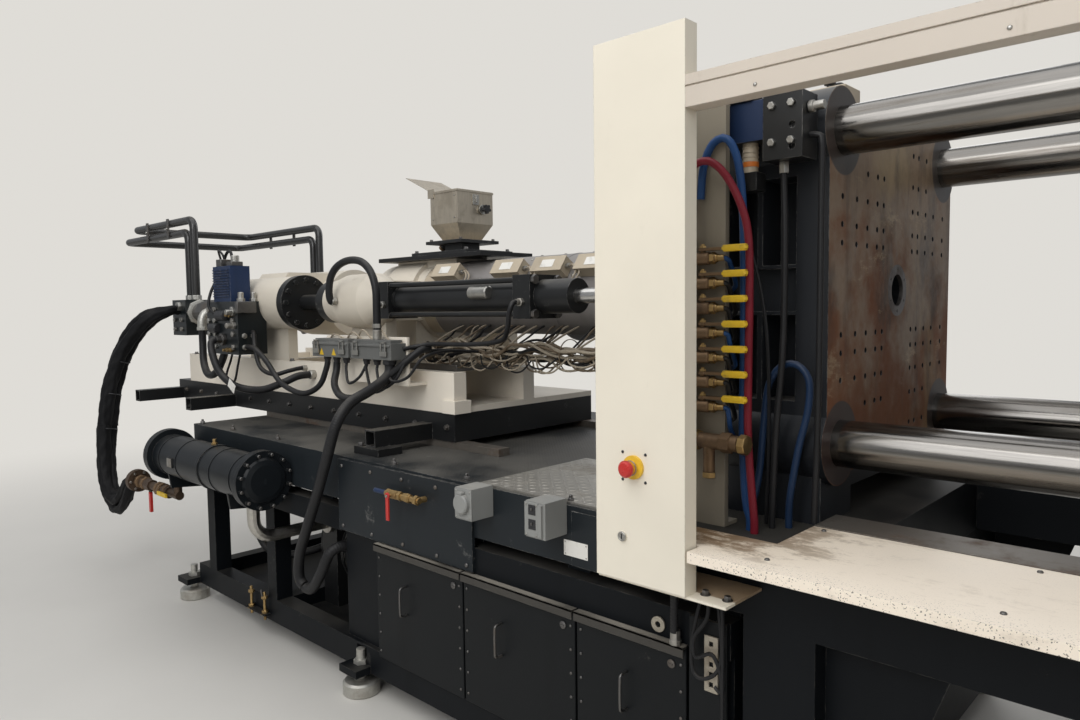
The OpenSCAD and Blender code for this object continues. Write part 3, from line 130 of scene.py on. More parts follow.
class Shop:
    """The node tree of one material or world and the only method that adds nodes to it."""

    def __init__(self, owner: Union[bpy.types.Material, bpy.types.World]) -> None:
        """Start with an empty tree.

        Args:
            owner: the material or world that the tree belongs to.
        """
        owner.use_nodes = True
        self.owner, self.tree = owner, owner.node_tree
        self.tree.nodes.clear()
        self._kept: Dict[str, Wire] = {}

    def node(self, kind: str, inputs: Optional[dict] = None, output: Union[int, str] = 0,
             **settings: object) -> Wire:
        """Make one node.

        Args:
            kind: the node's type after "ShaderNode".
            inputs: values or wires by socket name or number.
            output: the socket that is handed back.
            settings: the node's properties, which are set first.
        Returns:
            The chosen output as a wire.
        """
        made = self.tree.nodes.new("ShaderNode" + kind)
        for key, value in settings.items():
            setattr(made, key, value)
        for key, value in (inputs or {}).items():
            socket = made.inputs[key]
            if isinstance(value, Wire):
                self.tree.links.new(value.socket, socket)
            elif socket.type == "RGBA" and len(value) == 3:
                socket.default_value = (*value, 1.0)
            else:
                socket.default_value = value
        return Wire(self, made.outputs[output])

    def once(self, key: str, make: Callable[[], Wire]) -> Wire:
        """Make a wire the first time its key is asked for and keep it."""
        if key not in self._kept:
            self._kept[key] = make()
        return self._kept[key]

    def place(self, stretch: Point = EVEN) -> Wire:
        """Object coordinates in metres, stretched along the machine's axes."""
        base = self.once("object", lambda: self.node("TexCoord", output="Object"))
        return base if stretch == EVEN else self.node(
            "VectorMath", {0: base, 1: stretch}, operation="MULTIPLY")

    def part(self, axis: str) -> Wire:
        """One object coordinate: x, y or z."""
        return self.once("part" + axis, lambda: self.node(
            "SeparateXYZ", {0: self.place()}, "xyz".index(axis)))

    def facing(self, axis: str) -> Wire:
        """How far the surface faces along an axis, from -1 to 1."""
        normal = self.once("normal", lambda: self.node("TexCoord", output="Normal"))
        return self.once("facing" + axis, lambda: self.node(
            "SeparateXYZ", {0: normal}, "xyz".index(axis)))

    def noise(self, scale: float, detail: float = 2.0, stretch: Point = EVEN,
              rough: float = 0.55) -> Wire:
        """Cloudy noise from about 0.3 to 0.7.

        Args:
            scale: cells per metre.
            detail: octaves.
            stretch: factors on the machine's axes.
            rough: share of the fine octaves.
        Returns:
            The noise value.
        """
        return self.once(f"noise{scale}/{detail}/{stretch}/{rough}", lambda: self.node(
            "TexNoise", {"Vector": self.place(stretch), "Scale": scale, "Detail": detail,
                         "Roughness": rough}))

    def flow(self) -> Wire:
        """Distance along a swept piece in metres, from its own attribute."""
        along = self.once("flow", lambda: self.node(
            "Attribute", None, "Vector", attribute_name="flow"))
        return self.once("flowx", lambda: self.node("SeparateXYZ", {0: along}))

    def rounded(self, radius: float) -> Wire:
        """Normal rounded over the edges within a radius in metres."""
        return self.once(
            f"bevel{radius}", lambda: self.node("Bevel", {"Radius": radius}, samples=4))

    def edges(self, radius: float) -> Wire:
        """1 on the piece's edges, falling to 0 a radius away: one minus the dot product of the
        rounded and the plain normal, scaled up.

        Args:
            radius: the reach in metres.
        Returns:
            The mask.
        """
        def make() -> Wire:
            """The mask's nodes."""
            plain = self.node("NewGeometry", output="Normal")
            match = self.node(
                "VectorMath", {0: self.rounded(radius), 1: plain}, "Value", operation="DOT_PRODUCT")
            return (1.0 - match) * EDGE_GAIN
        return self.once(f"edge{radius}", make)

    def box(self, low: Point, high: Point) -> Wire:
        """1 inside a box of object coordinates and 0 outside it.

        Args:
            low: its lowest corner.
            high: its highest corner; a side at WIDE or beyond is open.
        Returns:
            The mask.
        """
        mask: Optional[Wire] = None
        for axis, lo, hi in zip("xyz", low, high):
            for compare, limit in ((Wire.above, lo), (Wire.below, hi)):
                if abs(limit) < WIDE:
                    inside = compare(self.part(axis), limit)
                    mask = inside if mask is None else mask * inside
        return mask

    def blend(self, share: Level, first: Tint, second: Tint) -> Wire:
        """Mix two colours; share 0 gives the first."""
        return self.node("Mix", {0: share, 6: first, 7: second}, 2, data_type="RGBA")

    def tone(self, colour: Tint, gain: Level) -> Wire:
        """A colour times a brightness."""
        return self.node("VectorMath", {0: colour, "Scale": gain}, operation="SCALE")

    def bump(self, height: Wire, strength: float, depth: float,
             normal: Optional[Wire] = None) -> Wire:
        """A normal tilted by a height in units of depth metres.

        Args:
            height: the height.
            strength: share of the tilt.
            depth: what a height of 1 stands for in metres.
            normal: the normal to start from, if not the surface's own.
        Returns:
            The tilted normal.
        """
        inputs = {"Height": height, "Strength": strength, "Distance": depth}
        return self.node("Bump", inputs if normal is None else {**inputs, "Normal": normal})

    def slide(self, share: Wire, first: Level, second: Level) -> Level:
        """Mix two numbers or wires; a number that is the same in both stays a number.

        Args:
            share: 0 gives the first.
            first: one value.
            second: the other value.
        Returns:
            The mix.
        """
        if isinstance(first, Wire):
            return first + (second - first) * share
        if not isinstance(second, Wire) and first == second:
            return first
        gap = second - first
        return gap * share + first if isinstance(gap, Wire) else share * gap + first

    def merge(self, share: Wire, first: Surface, second: Surface) -> Surface:
        """Mix two surfaces by a mask; 0 gives the first."""
        return Surface(self.blend(share, first.colour, second.colour),
                       self.slide(share, first.rough, second.rough),
                       self.slide(share, first.metal, second.metal), first.normal or second.normal)

    def close(self, surface: Surface, glass: float, shine: float) -> bpy.types.Material:
        """Connect the surface to the one shader.

        Args:
            surface: colour, roughness, metal share and normal.
            glass: share of light that passes through.
            shine: strength of the gloss on what isn't metal.
        Returns:
            The material.
        """
        inputs = {
            "Base Color": surface.colour, "Roughness": surface.rough, "Metallic": surface.metal,
            "Specular IOR Level": shine, "Transmission Weight": glass, "IOR": 1.45}
        if surface.normal is not None:
            inputs["Normal"] = surface.normal
        return self.output(self.node("BsdfPrincipled", inputs))

    def output(self, shader: Wire,
               kind: str = "OutputMaterial") -> Union[bpy.types.Material, bpy.types.World]:
        """Put the output node at the end of the tree and hand the tree's owner back."""
        end = self.tree.nodes.new("ShaderNode" + kind)
        self.tree.links.new(shader.socket, end.inputs["Surface"])
        return self.owner


# ------------ finishes

class Look(Enum):
    """The kinds of wear that a painted finish can show."""

    CLEAN = "clean"
    SCUFFED = "scuffed"
    CHIPPED = "chipped"


@dataclass(frozen=True)
class Paint:
    """Sprayed machine paint with dust on top, grime running down and worn edges."""

    name: str
    colour: Colour
    rough: float = 0.42
    look: Look = Look.CLEAN
    dust: float = 0.25
    grime: float = 0.25
    edge: float = 0.004
    bare: Colour = (0.32, 0.31, 0.29)
    shine: float = 0.35
    tread: float = 0.0

    def surface(self, shop: Shop) -> Surface:
        """Colour = paint x cloudy mottle, then dust where it faces up, grime in streaks and bare
        metal where the edge mask times noise passes a threshold; a tread is the product of two
        diagonal waves, as lugs on whatever faces up.

        Args:
            shop: the material's nodes.
        Returns:
            The surface.
        """
        cloud = shop.noise(2.3, 4.0)
        colour: Tint = shop.tone(self.colour, (cloud - 0.5) * 0.45 + 1.0)
        streak = shop.noise(9.0, 3.0, (1.0, 1.0, 0.12)).step(0.52, 0.74) * self.grime
        colour = shop.blend(streak, colour, shop.tone(self.colour, 0.45))
        fine = shop.noise(34.0, 5.0, rough=0.7)
        settle = shop.facing("z").step(0.6, 0.95) * cloud.step(0.3, 0.62) * self.dust
        colour = shop.blend(settle, colour, (0.34, 0.31, 0.26))
        rough: Level = settle * 0.35 + (cloud - 0.5) * 0.3 + self.rough
        metal: Level = 0.0
        if self.look is not Look.CLEAN:
            worn = (shop.edges(self.edge) * fine.step(0.42, 0.62)).step(0.25, 0.7)
            if self.look is Look.SCUFFED:
                rub = shop.noise(5.0, 9.0, rough=0.8).step(0.615, 0.68) * 0.4
                worn = worn.most(rub)
            colour = shop.blend(worn * 0.75, colour, self.bare)
            metal = worn * 0.35
        if not self.tread:
            normal = shop.bump(fine, 0.12, 0.0006, shop.rounded(0.0025))
            return Surface(colour, rough, metal, normal)
        turns = 2 * math.pi / self.tread
        lugs = ((shop.part("x") + shop.part("y")) * turns).wave() \
            * ((shop.part("x") - shop.part("y")) * turns).wave()
        lugs = (lugs ** 2.0).step(0.2, 0.5) * shop.facing("z").step(0.6, 0.95)
        colour = shop.blend(lugs * cloud.step(0.35, 0.6) * 0.4, colour, (0.11, 0.105, 0.095))
        return Surface(colour, rough, metal, shop.bump(lugs, 0.5, 0.0015, shop.rounded(0.0025)))


@dataclass(frozen=True)
class WhitePaint:
    """White sheet-metal paint: faint scuffs, chips and dark specks near the shelf's front edge,
    and a brown plate at the foot of the guard post."""

    name: str
    colour: Colour = (0.77, 0.73, 0.66)
    rough: float = 0.38
    specks: float = 0.0
    foot: float = 0.0
    grime: float = 0.3
    chipped: float = 0.35

    def surface(self, shop: Shop) -> Surface:
        """White x mottle, grey rubs, thin dark chips on the edges; on the shelf fine specks by
        its front edge and brown dirt towards the notch; on the post a brown foot plate.

        Args:
            shop: the material's nodes.
        Returns:
            The surface.
        """
        cloud = shop.noise(3.1, 4.0)
        colour: Tint = shop.tone(self.colour, (cloud - 0.5) * 0.16 + 1.0)
        rub = shop.noise(13.0, 6.0, (1.0, 1.0, 0.35), 0.7).step(0.6, 0.78) * self.grime
        colour = shop.blend(rub, colour, (0.42, 0.36, 0.28))
        fine = shop.noise(140.0, 5.0, rough=0.7)
        chips = (shop.edges(0.003) * fine.step(0.5, 0.62)).step(0.35, 0.7) * self.chipped
        if self.specks:
            front = shop.part("y").step(-0.93, -1.018)
            spatter = shop.noise(260.0, 2.0).step(0.63, 0.67) * (front * 0.85 + 0.15)
            chips = chips.most(spatter * self.specks)
            notch = shop.part("x").step(1.95, 1.35) * shop.part("y").step(-1.01, -0.9)
            dirt = (shop.noise(14.0, 7.0, (0.5, 1.0, 1.0), 0.75) + notch * 0.21).step(0.54, 0.7)
            colour = shop.blend(notch * 0.4, colour, (0.5, 0.4, 0.27))
            colour = shop.blend(dirt * (notch * 0.8 + 0.2), colour, (0.17, 0.1, 0.045))
        colour = shop.blend(chips, colour, (0.07, 0.06, 0.05))
        if self.foot:
            plate = shop.part("z").step(self.foot + 0.004, self.foot + 0.001) \
                * shop.part("y").step(-0.9678, -0.9668)
            colour = shop.blend(plate * (cloud * 0.5 + 0.55), colour, (0.25, 0.155, 0.075))
        return Surface(colour, (cloud - 0.5) * 0.3 + self.rough, 0.0,
                       shop.bump(fine, 0.08, 0.0006, shop.rounded(0.003)))


@dataclass(frozen=True)
class Metal:
    """Bare metal with stains; brushed along one axis if a grain is given."""

    name: str
    colour: Colour
    rough: float = 0.35
    stain: Colour = (0.12, 0.09, 0.06)
    stained: float = 0.35
    grain: Point = EVEN
    grain_scale: float = 60.0
    metal: float = 1.0

    def surface(self, shop: Shop) -> Surface:
        """Metal x grain noise, stains where cloudy noise is high, and rougher there.

        Args:
            shop: the material's nodes.
        Returns:
            The surface.
        """
        grain = shop.noise(self.grain_scale, 4.0, self.grain, 0.7)
        cloud = shop.noise(6.0, 5.0, rough=0.65)
        dirty = cloud.step(0.48, 0.7) * self.stained
        colour = shop.blend(dirty, shop.tone(self.colour, (grain - 0.5) * 0.5 + 1.0), self.stain)
        rough = (grain - 0.5) * 0.35 + dirty * 0.4 + self.rough
        return Surface(colour, rough, self.metal - dirty * 0.6 * self.metal, shop.bump(
            grain, 0.1, 0.0004, shop.rounded(0.0015)))


@dataclass(frozen=True)
class Chrome:
    """Polished bars with lengthwise oil streaks and a brown tint in patches."""

    name: str
    colour: Colour = (0.215, 0.205, 0.192)
    oil: float = 0.75

    def surface(self, shop: Shop) -> Surface:
        """Mirror metal whose roughness follows noise that is stretched along the bar.

        Args:
            shop: the material's nodes.
        Returns:
            The surface.
        """
        streak = shop.noise(34.0, 5.0, (0.03, 1.0, 1.0), 0.7)
        patch = shop.noise(4.0, 4.0, (0.4, 1.0, 1.0))
        film = streak.step(0.44, 0.66) * patch.step(0.36, 0.6) * self.oil
        colour = shop.blend(
            film, shop.tone(self.colour, (streak - 0.5) * 1.9 + 1.0), (0.085, 0.068, 0.05))
        return Surface(colour, film * 0.2 + streak * 0.26 + 0.05, 1.0 - film * 0.25)


@dataclass(frozen=True)
class MouldFace:
    """Dark painted platen whose mould face is bare, oily and rusty."""

    name: str
    paint: Paint
    face: float
    side: float

    def surface(self, shop: Shop) -> Surface:
        """Paint, and within 6 mm of the mould face, where it faces the mould, grey-brown steel
        with rust clouds that grow downwards, tan and sooty patches, drips and bright scratches.

        Args:
            shop: the material's nodes.
        Returns:
            The surface.
        """
        paint = self.paint.surface(shop)
        cloud = shop.noise(3.2, 6.0, rough=0.62)
        drip = shop.noise(11.0, 5.0, (1.0, 1.0, 0.16), 0.7)
        low = shop.part("z").step(1.95, 1.15)
        rust = (cloud * 0.9 + low * 0.2).step(0.46, 0.66)
        steel: Tint = shop.blend(rust, (0.205, 0.142, 0.088), (0.165, 0.062, 0.024))
        steel = shop.blend(drip.step(0.5, 0.72) * 0.65, steel, (0.07, 0.045, 0.03))
        tan = shop.noise(1.9, 5.0, (1.0, 1.0, 0.45), 0.6).step(0.5, 0.64)
        steel = shop.blend(tan * 0.6, steel, (0.31, 0.235, 0.125))
        soot = shop.noise(2.7, 6.0, (1.0, 1.0, 0.5), 0.65).step(0.53, 0.68)
        steel = shop.blend(soot * 0.75, steel, (0.042, 0.03, 0.022))
        rub = shop.noise(7.0, 9.0, (1.0, 0.4, 1.0), 0.8).step(0.57, 0.66)
        steel = shop.blend(rub * 0.6, steel, (0.4, 0.31, 0.2))
        ring = shop.noise(40.0, 3.0)
        bare = Surface(steel, rust * 0.25 + (ring - 0.5) * 0.3 + 0.46, rub * 0.3 + 0.06)
        away = [((shop.part(axis) - middle) ** 2.0) ** 0.5 - 0.43
                for axis, middle in (("y", 0.0), ("z", AXIS_H))]
        boss = (away[0] ** 2.0 + away[1] ** 2.0).step(0.0134, 0.0148)
        mask = (shop.facing("x") * self.side).step(0.8, 0.95) * (boss * 0.85 + 0.15) \
            * ((shop.part("x") - self.face) * self.side).step(-0.008, -0.004)
        return shop.merge(mask, paint, bare)


@dataclass(frozen=True)
class Rubber:
    """Hose or sleeve; ribs per metre run round it when given."""

    name: str
    colour: Colour = (0.018, 0.018, 0.019)
    rough: float = 0.55
    ribs: float = 0.0
    dust: float = 0.3
    weave: bool = False
    shine: float = 0.3

    def surface(self, shop: Shop) -> Surface:
        """Dark rubber; ribs are a sine of the distance along the hose, a weave adds cross noise.

        Args:
            shop: the material's nodes.
        Returns:
            The surface.
        """
        cloud = shop.noise(9.0, 4.0)
        colour: Tint = shop.tone(self.colour, (cloud - 0.5) * 0.7 + 1.0)
        settle = shop.facing("z").step(0.1, 0.95) * cloud.step(0.35, 0.65) * self.dust
        colour = shop.blend(settle, colour, (0.22, 0.2, 0.17))
        height: Wire = shop.noise(240.0, 2.0)
        if self.ribs:
            height = (shop.flow() * (self.ribs * 2 * math.pi)).wave() * 0.5 + 0.5
        if self.weave:
            height = shop.noise(420.0, 1.0, (1.0, 1.0, 0.3)) + shop.noise(30.0, 4.0) * 2.0
        return Surface(colour, settle * 0.3 + self.rough, 0.0, shop.bump(
            height, 0.5 if self.ribs or self.weave else 0.12, 0.0012))


@dataclass(frozen=True)
class Plastic:
    """Moulded plastic with dust and dirty marks."""

    name: str
    colour: Colour
    rough: float = 0.35
    dirt: float = 0.3

    def surface(self, shop: Shop) -> Surface:
        """Plastic x mottle with dark dirt where noise is high."""
        cloud = shop.noise(26.0, 5.0, rough=0.65)
        colour = shop.blend(
            cloud.step(0.5, 0.75) * self.dirt,
            shop.tone(self.colour, (shop.noise(5.0) - 0.5) * 0.2 + 1.0), (0.09, 0.075, 0.05))
        return Surface(colour, (cloud - 0.5) * 0.3 + self.rough, 0.0,
                       shop.bump(cloud, 0.06, 0.0005, shop.rounded(0.0012)))


@dataclass(frozen=True)
class Pane:
    """Clear plastic pane, faintly yellowed and scratched."""

    name: str
    colour: Colour = (0.93, 0.93, 0.86)

    def surface(self, shop: Shop) -> Surface:
        """Clear tint with hair scratches in the roughness."""
        hair = shop.noise(14.0, 8.0, (1.0, 1.0, 0.3), 0.8)
        return Surface(shop.tone(self.colour, (hair - 0.5) * 0.1 + 1.0),
                       hair.step(0.6, 0.8) * 0.25 + 0.04, 0.0)


@dataclass(frozen=True)
class Zoned:
    """One node with several finishes, each inside its own box of the machine's coordinates."""

    name: str
    base: "Finish"
    zones: Tuple[Tuple[Point, Point, "Finish"], ...]

    def surface(self, shop: Shop) -> Surface:
        """The base, replaced inside each box in turn.

        Args:
            shop: the material's nodes.
        Returns:
            The surface.
        """
        surface = self.base.surface(shop)
        for low, high, finish in self.zones:
            surface = shop.merge(shop.box(low, high), surface, finish.surface(shop))
        return surface


Finish = Union[Paint, WhitePaint, Metal, Chrome, MouldFace, Rubber, Plastic, Pane, Zoned]


class Paintshop:
    """Makes each finish's material once."""

    def __init__(self) -> None:
        """Start with no materials."""
        self._made: Dict[str, bpy.types.Material] = {}

    def material(self, finish: Finish) -> bpy.types.Material:
        """The material of a finish.

        Args:
            finish: the finish.
        Returns:
            Its material.
        """
        if finish.name not in self._made:
            shop = Shop(bpy.data.materials.new(finish.name))
            surface = finish.surface(shop)
            glass = 0.92 if isinstance(finish, Pane) else 0.0
            self._made[finish.name] = shop.close(surface, glass, getattr(finish, "shine", 0.5))
        return self._made[finish.name]


PAINTSHOP = Paintshop()

WORN = (0.12, 0.112, 0.1)
BED = Paint("bed_blue_grey", (0.013, 0.0165, 0.0195), 0.44, Look.SCUFFED, 0.24, 0.3,
            tread=0.034, shine=0.25)
# frame and panel colours are partly black paint and partly painted shade: made darker still for the
# shade that falls under the shelf
FRAME = Paint(
    "frame_black", (0.005, 0.0062, 0.0078), 0.5, Look.SCUFFED, 0.12, 0.3, bare=WORN, shine=0.16)
PANEL = Paint(
    "panel_black", (0.006, 0.0072, 0.0082), 0.46, Look.SCUFFED, 0.3, 0.45, bare=WORN, shine=0.22)
ANGLE = Paint("dusty_angle", (0.05, 0.046, 0.04), 0.5, Look.SCUFFED, 0.75, 0.3)
PLATEN_COAT = Paint("platen_blue_grey", (0.0115, 0.0135, 0.017), 0.42, Look.SCUFFED, 0.25, 0.4)
BLACK = Paint("black_paint", (0.013, 0.0135, 0.014), 0.33, Look.SCUFFED, 0.26, 0.2)
PIPE_BLACK = Paint("pipe_black", (0.02, 0.0195, 0.0185), 0.24, Look.SCUFFED, 0.3, 0.2, shine=0.7)
COOLER = Paint(
    "cooler_black", (0.0095, 0.0115, 0.0135), 0.33, Look.SCUFFED, 0.05, 0.3, bare=WORN, shine=0.22)
COVER = Paint("cover_grey", (0.225, 0.21, 0.2), 0.33, Look.CLEAN, 0.25, 0.35)
BEIGE = Paint("beige_paint", (0.46, 0.39, 0.29), 0.45, Look.CHIPPED, 0.2, 0.35)
COLUMN = Paint("column_beige", (0.25, 0.22, 0.17), 0.5, Look.CHIPPED, 0.2, 0.6)
GREY = Paint("grey_box", (0.26, 0.262, 0.25), 0.42, Look.CHIPPED, 0.3, 0.3)
CONNECTOR = Paint("connector_grey", (0.13, 0.132, 0.126), 0.45, Look.CHIPPED, 0.35, 0.3)
BLUE = Paint("valve_blue", (0.007, 0.022, 0.068), 0.45, Look.CHIPPED, 0.06, 0.5, shine=0.18)
WHITE = WhitePaint("white_paint", (0.84, 0.77, 0.66))
CASTING = WhitePaint("white_casting", (0.62, 0.565, 0.475), 0.42, 0.0, 0.0, 0.7)
POST = WhitePaint("post_white", (0.8, 0.74, 0.62), 0.36, 0.0, 0.852, 0.18)
BEAM = WhitePaint("beam_white", (0.6, 0.53, 0.45), 0.4, 0.0, 0.0, 0.6, 0.6)
SHELF = WhitePaint("shelf_white", (0.91, 0.81, 0.68), 0.42, 0.9, 0.0, 0.4, 0.7)
STEEL = Metal("machined_steel", (0.42, 0.41, 0.38), 0.38, stained=0.5)
DARK_STEEL = Metal("dark_steel", (0.16, 0.155, 0.15), 0.42, stained=0.6)
IRON = Metal("worn_iron", (0.2, 0.18, 0.155), 0.45, (0.1, 0.045, 0.02), 0.75, metal=0.7)
ZINC = Metal("pad_zinc", (0.5, 0.49, 0.45), 0.45, (0.2, 0.15, 0.1), 0.5, metal=0.8)
TREAD = Metal("tread_steel", (0.42, 0.4, 0.36), 0.42, (0.14, 0.12, 0.09), 0.5, metal=0.75)
BRACKET = Metal("pale_bracket", (0.42, 0.38, 0.31), 0.45, (0.16, 0.1, 0.05), 0.5, metal=0.6)
HOPPER_STEEL = Metal(
    "hopper_steel", (0.5, 0.445, 0.36), 0.4, (0.12, 0.1, 0.075), 0.5, (1.0, 1.0, 0.1), 90.0, 0.85)
PIPE = Metal("pipe_steel", (0.5, 0.48, 0.44), 0.34, stained=0.4)
BRASS = Metal("brass_fitting", (0.44, 0.3, 0.13), 0.38, (0.07, 0.045, 0.02), 0.65)
BRONZE = Metal("aged_bronze", (0.2, 0.13, 0.075), 0.5, (0.05, 0.03, 0.02), 0.7, metal=0.8)
BARREL = Metal("barrel_steel", (0.14, 0.13, 0.125), 0.45, (0.07, 0.045, 0.03), 0.6)
CHROME = Chrome("chrome_bar")
ROD = Chrome("chrome_rod", (0.58, 0.57, 0.55), 0.35)
YELLOW = Plastic("yellow_grip", (0.66, 0.43, 0.02), 0.42, 0.6)
RED = Plastic("red_plastic", (0.5, 0.03, 0.025), 0.3, 0.15)
COLLAR = Plastic("collar_yellow", (0.8, 0.5, 0.04), 0.35, 0.2)
BLACK_PLASTIC = Plastic("black_plastic", (0.02, 0.02, 0.022), 0.45, 0.0)
TAG = Plastic("tag_white", (0.75, 0.73, 0.68), 0.5, 0.3)
CABLE_GREY = Rubber("cable_grey", (0.34, 0.29, 0.22), 0.5, 0.0, 0.1)
CABLE_BROWN = Rubber("cable_brown", (0.16, 0.12, 0.08), 0.5, 0.0, 0.1)
HOSE_BLUE = Rubber("hose_blue", (0.016, 0.055, 0.16), 0.36, 0.0, 0.05)
HOSE_STEEL_BLUE = Rubber("hose_steel_blue", (0.014, 0.032, 0.075), 0.38)
HOSE_RED = Rubber("hose_red", (0.17, 0.012, 0.022), 0.36, 0.0, 0.05)
HOSE_BLACK = Rubber("hose_black", (0.014, 0.014, 0.015), 0.42, 0.0, 0.15)
CONDUIT = Rubber("ribbed_conduit", (0.016, 0.016, 0.017), 0.45, 110.0, 0.2)
SLEEVE = Rubber("woven_sleeve", (0.006, 0.006, 0.0068), 0.6, 0.0, 0.05, True, 0.2)
CLEAR = Pane("clear_pane")
PLATEN_FIXED = MouldFace("fixed_platen", PLATEN_COAT, FACE_X, 1.0)
PLATEN_MOVING = MouldFace("moving_platen", PLATEN_COAT, FACE_X + 0.9, -1.0)
LEVER = Zoned("valve_lever", BRONZE, (((1.372, -WIDE, -WIDE), (WIDE, WIDE, WIDE), YELLOW),))
MANIFOLD = Zoned("clamp_manifold", BLACK, (
    ((-WIDE, -WIDE, 1.99), (1.4401, WIDE, WIDE), BLUE),
    ((-WIDE, -WIDE, 1.9102), (1.4401, WIDE, 1.99), BEIGE)))
HOPPER = Zoned("hopper", HOPPER_STEEL, (((-WIDE, -WIDE, -WIDE), (WIDE, WIDE, 1.8802), BLACK),))
OIL_BLOCK = Zoned("injection_manifold", Paint("oil_block", (0.008, 0.011, 0.0125), 0.34,
                                              Look.SCUFFED, 0.16, 0.3, bare=WORN),
                  (((-1.8, -0.69, 1.602), (-1.57, -0.57, WIDE), BLUE),
                   ((-2.58, -WIDE, -WIDE), (-1.9, WIDE, WIDE), DARK_STEEL)))
PIPEWORK = Zoned("cooler_pipework", Metal("valve_iron", (0.11, 0.075, 0.052), 0.5,
                                          (0.05, 0.03, 0.02), 0.7, metal=0.75), (
    ((-1.5, -WIDE, -WIDE), (WIDE, WIDE, WIDE), PIPE),
    ((-2.05, -0.98, 0.4), (-2.0, -0.95, 0.566), RED),
    ((-1.80, -1.03, 0.59), (-1.66, -1.012, 0.62), YELLOW)))
COVERING = Zoned("barrel_cover", COVER, (((-WIDE, -WIDE, -WIDE), (-0.515, WIDE, WIDE), BEIGE),))
AIR_VALVE = Zoned("air_valve", BRASS, (((-WIDE, -WIDE, -WIDE), (0.0499, WIDE, WIDE), BLUE),))


# ------------ shapes

@dataclass
class Shape:
    """A mesh as arrays: points, faces as lists of corner numbers, and distance along a sweep."""

    points: np.ndarray
    faces: List[np.ndarray]
    flow: np.ndarray

    def moved(self, matrix: Sequence[Sequence[float]], shift: Sequence[float] = ORIGIN) -> "Shape":
        """The shape turned by a 3 x 3 matrix and shifted."""
        return Shape(self.points @ np.asarray(matrix, float).T + np.asarray(shift, float),
                     self.faces, self.flow)

    def shifted(self, *shift: float) -> "Shape":
        """The shape moved by x, y, z."""
        return Shape(self.points + np.asarray(shift, float), self.faces, self.flow)

    def repeated(self, places: np.ndarray) -> "Shape":
        """Copies of the shape at each row of places, worked out as one array.

        Args:
            places: count x 3 points.
        Returns:
            All copies as one shape.
        """
        count, size = len(places), len(self.points)
        points = (places[:, None, :] + self.points[None]).reshape(-1, 3)
        step = (np.arange(count) * size)[:, None, None]
        faces = [(face[None] + step).reshape(-1, face.shape[1]) for face in self.faces]
        return Shape(points, faces, np.tile(self.flow, count))

    def grid(self, *axes: Values) -> "Shape":
        """Copies of the shape at every combination of x, y and z values."""
        return self.repeated(rows(*axes))


def rows(*axes: Values) -> np.ndarray:
    """Every combination of x, y and z values, as rows; each is one number or several."""
    return np.stack(np.meshgrid(
        *[np.atleast_1d(a).astype(float) for a in axes], indexing="ij"), -1).reshape(-1, 3)


def circle(centre: Point, radius: float, degrees: Sequence[float]) -> np.ndarray:
    """Points round the x direction: y = radius x cos and z = radius x sin off the centre."""
    angle = np.radians(np.asarray(degrees, float))
    return np.stack([0 * angle, radius * np.cos(angle), radius * np.sin(angle)], -1) + centre


def tilt(degrees: float) -> np.ndarray:
    """Turn about the x axis from the top towards the near side, as a matrix."""
    a = math.radians(degrees)
    return np.array([[1, 0, 0], [0, math.cos(a), -math.sin(a)], [0, math.sin(a), math.cos(a)]])


def joined(shapes: Sequence[Shape]) -> Shape:
    """All shapes as one.

    Args:
        shapes: the shapes.
    Returns:
        One shape.
    """
    starts = np.cumsum([0] + [len(s.points) for s in shapes[:-1]])
    faces = [face + start for s, start in zip(shapes, starts) for face in s.faces]
    return Shape(
        np.concatenate([s.points for s in shapes]), faces, np.concatenate([s.flow for s in shapes]))


def skin(grid: np.ndarray, flow: np.ndarray, ends: bool = True) -> Shape:
    """Tube skin over a grid of rings.

    Faces join each ring to the next and close round it; each end closes with a fan of triangles
    to the ring's centre.

    Args:
        grid: rings x sides x 3 points.
        flow: distance along the tube of each ring.
        ends: whether the ends are closed.
    Returns:
        The shape.
    """
    rings, sides = grid.shape[:2]
    row = np.arange(rings - 1)[:, None] * sides
    col = np.arange(sides)[None]
    after = (col + 1) % sides
    quads = np.stack([row + col, row + after, row + sides + after, row + sides + col], -1)
    points, faces, along = grid.reshape(-1, 3), [quads.reshape(-1, 4)], np.repeat(flow, sides)
    if ends:
        first, base = len(points), (rings - 1) * sides
        points = np.concatenate([points, grid[0].mean(0)[None], grid[-1].mean(0)[None]])
        along = np.append(along, (flow[0], flow[-1]))
        faces.append(np.stack([np.full(sides, first), after[0], col[0]], -1))
        faces.append(np.stack([np.full(sides, first + 1), base + col[0], base + after[0]], -1))
    return Shape(points, faces, along)


def spun(section: np.ndarray, sides: int, phase: float = 0.0) -> np.ndarray:
    """Rings of a section, rows of height and radius, carried round the z axis: each point is
    (radius x cos, radius x sin, height)."""
    angle = np.arange(sides) * 2 * math.pi / sides + phase
    return np.stack([section[:, 1:] * np.cos(angle), section[:, 1:] * np.sin(angle),
                     np.repeat(section[:, :1], sides, 1)], -1)


def stood(shape: Shape, centre: Point, axis: str) -> Shape:
    """A shape made along z, stood along x, y or z at a centre; "-y" and so on turn it round.

    Args:
        shape: a shape round the z axis.
        centre: where its foot goes.
        axis: where its top points, such as "-y".
    Returns:
        The shape in its place.
    """
    sign = -1 if axis.startswith("-") else 1
    turns = {
        "x": [[0, 0, sign], [0, 1, 0], [-sign, 0, 0]],
        "y": [[1, 0, 0], [0, 0, sign], [0, -sign, 0]], "z": [[1, 0, 0], [0, sign, 0], [0, 0, sign]]}
    return shape.moved(turns[axis[-1]], centre)


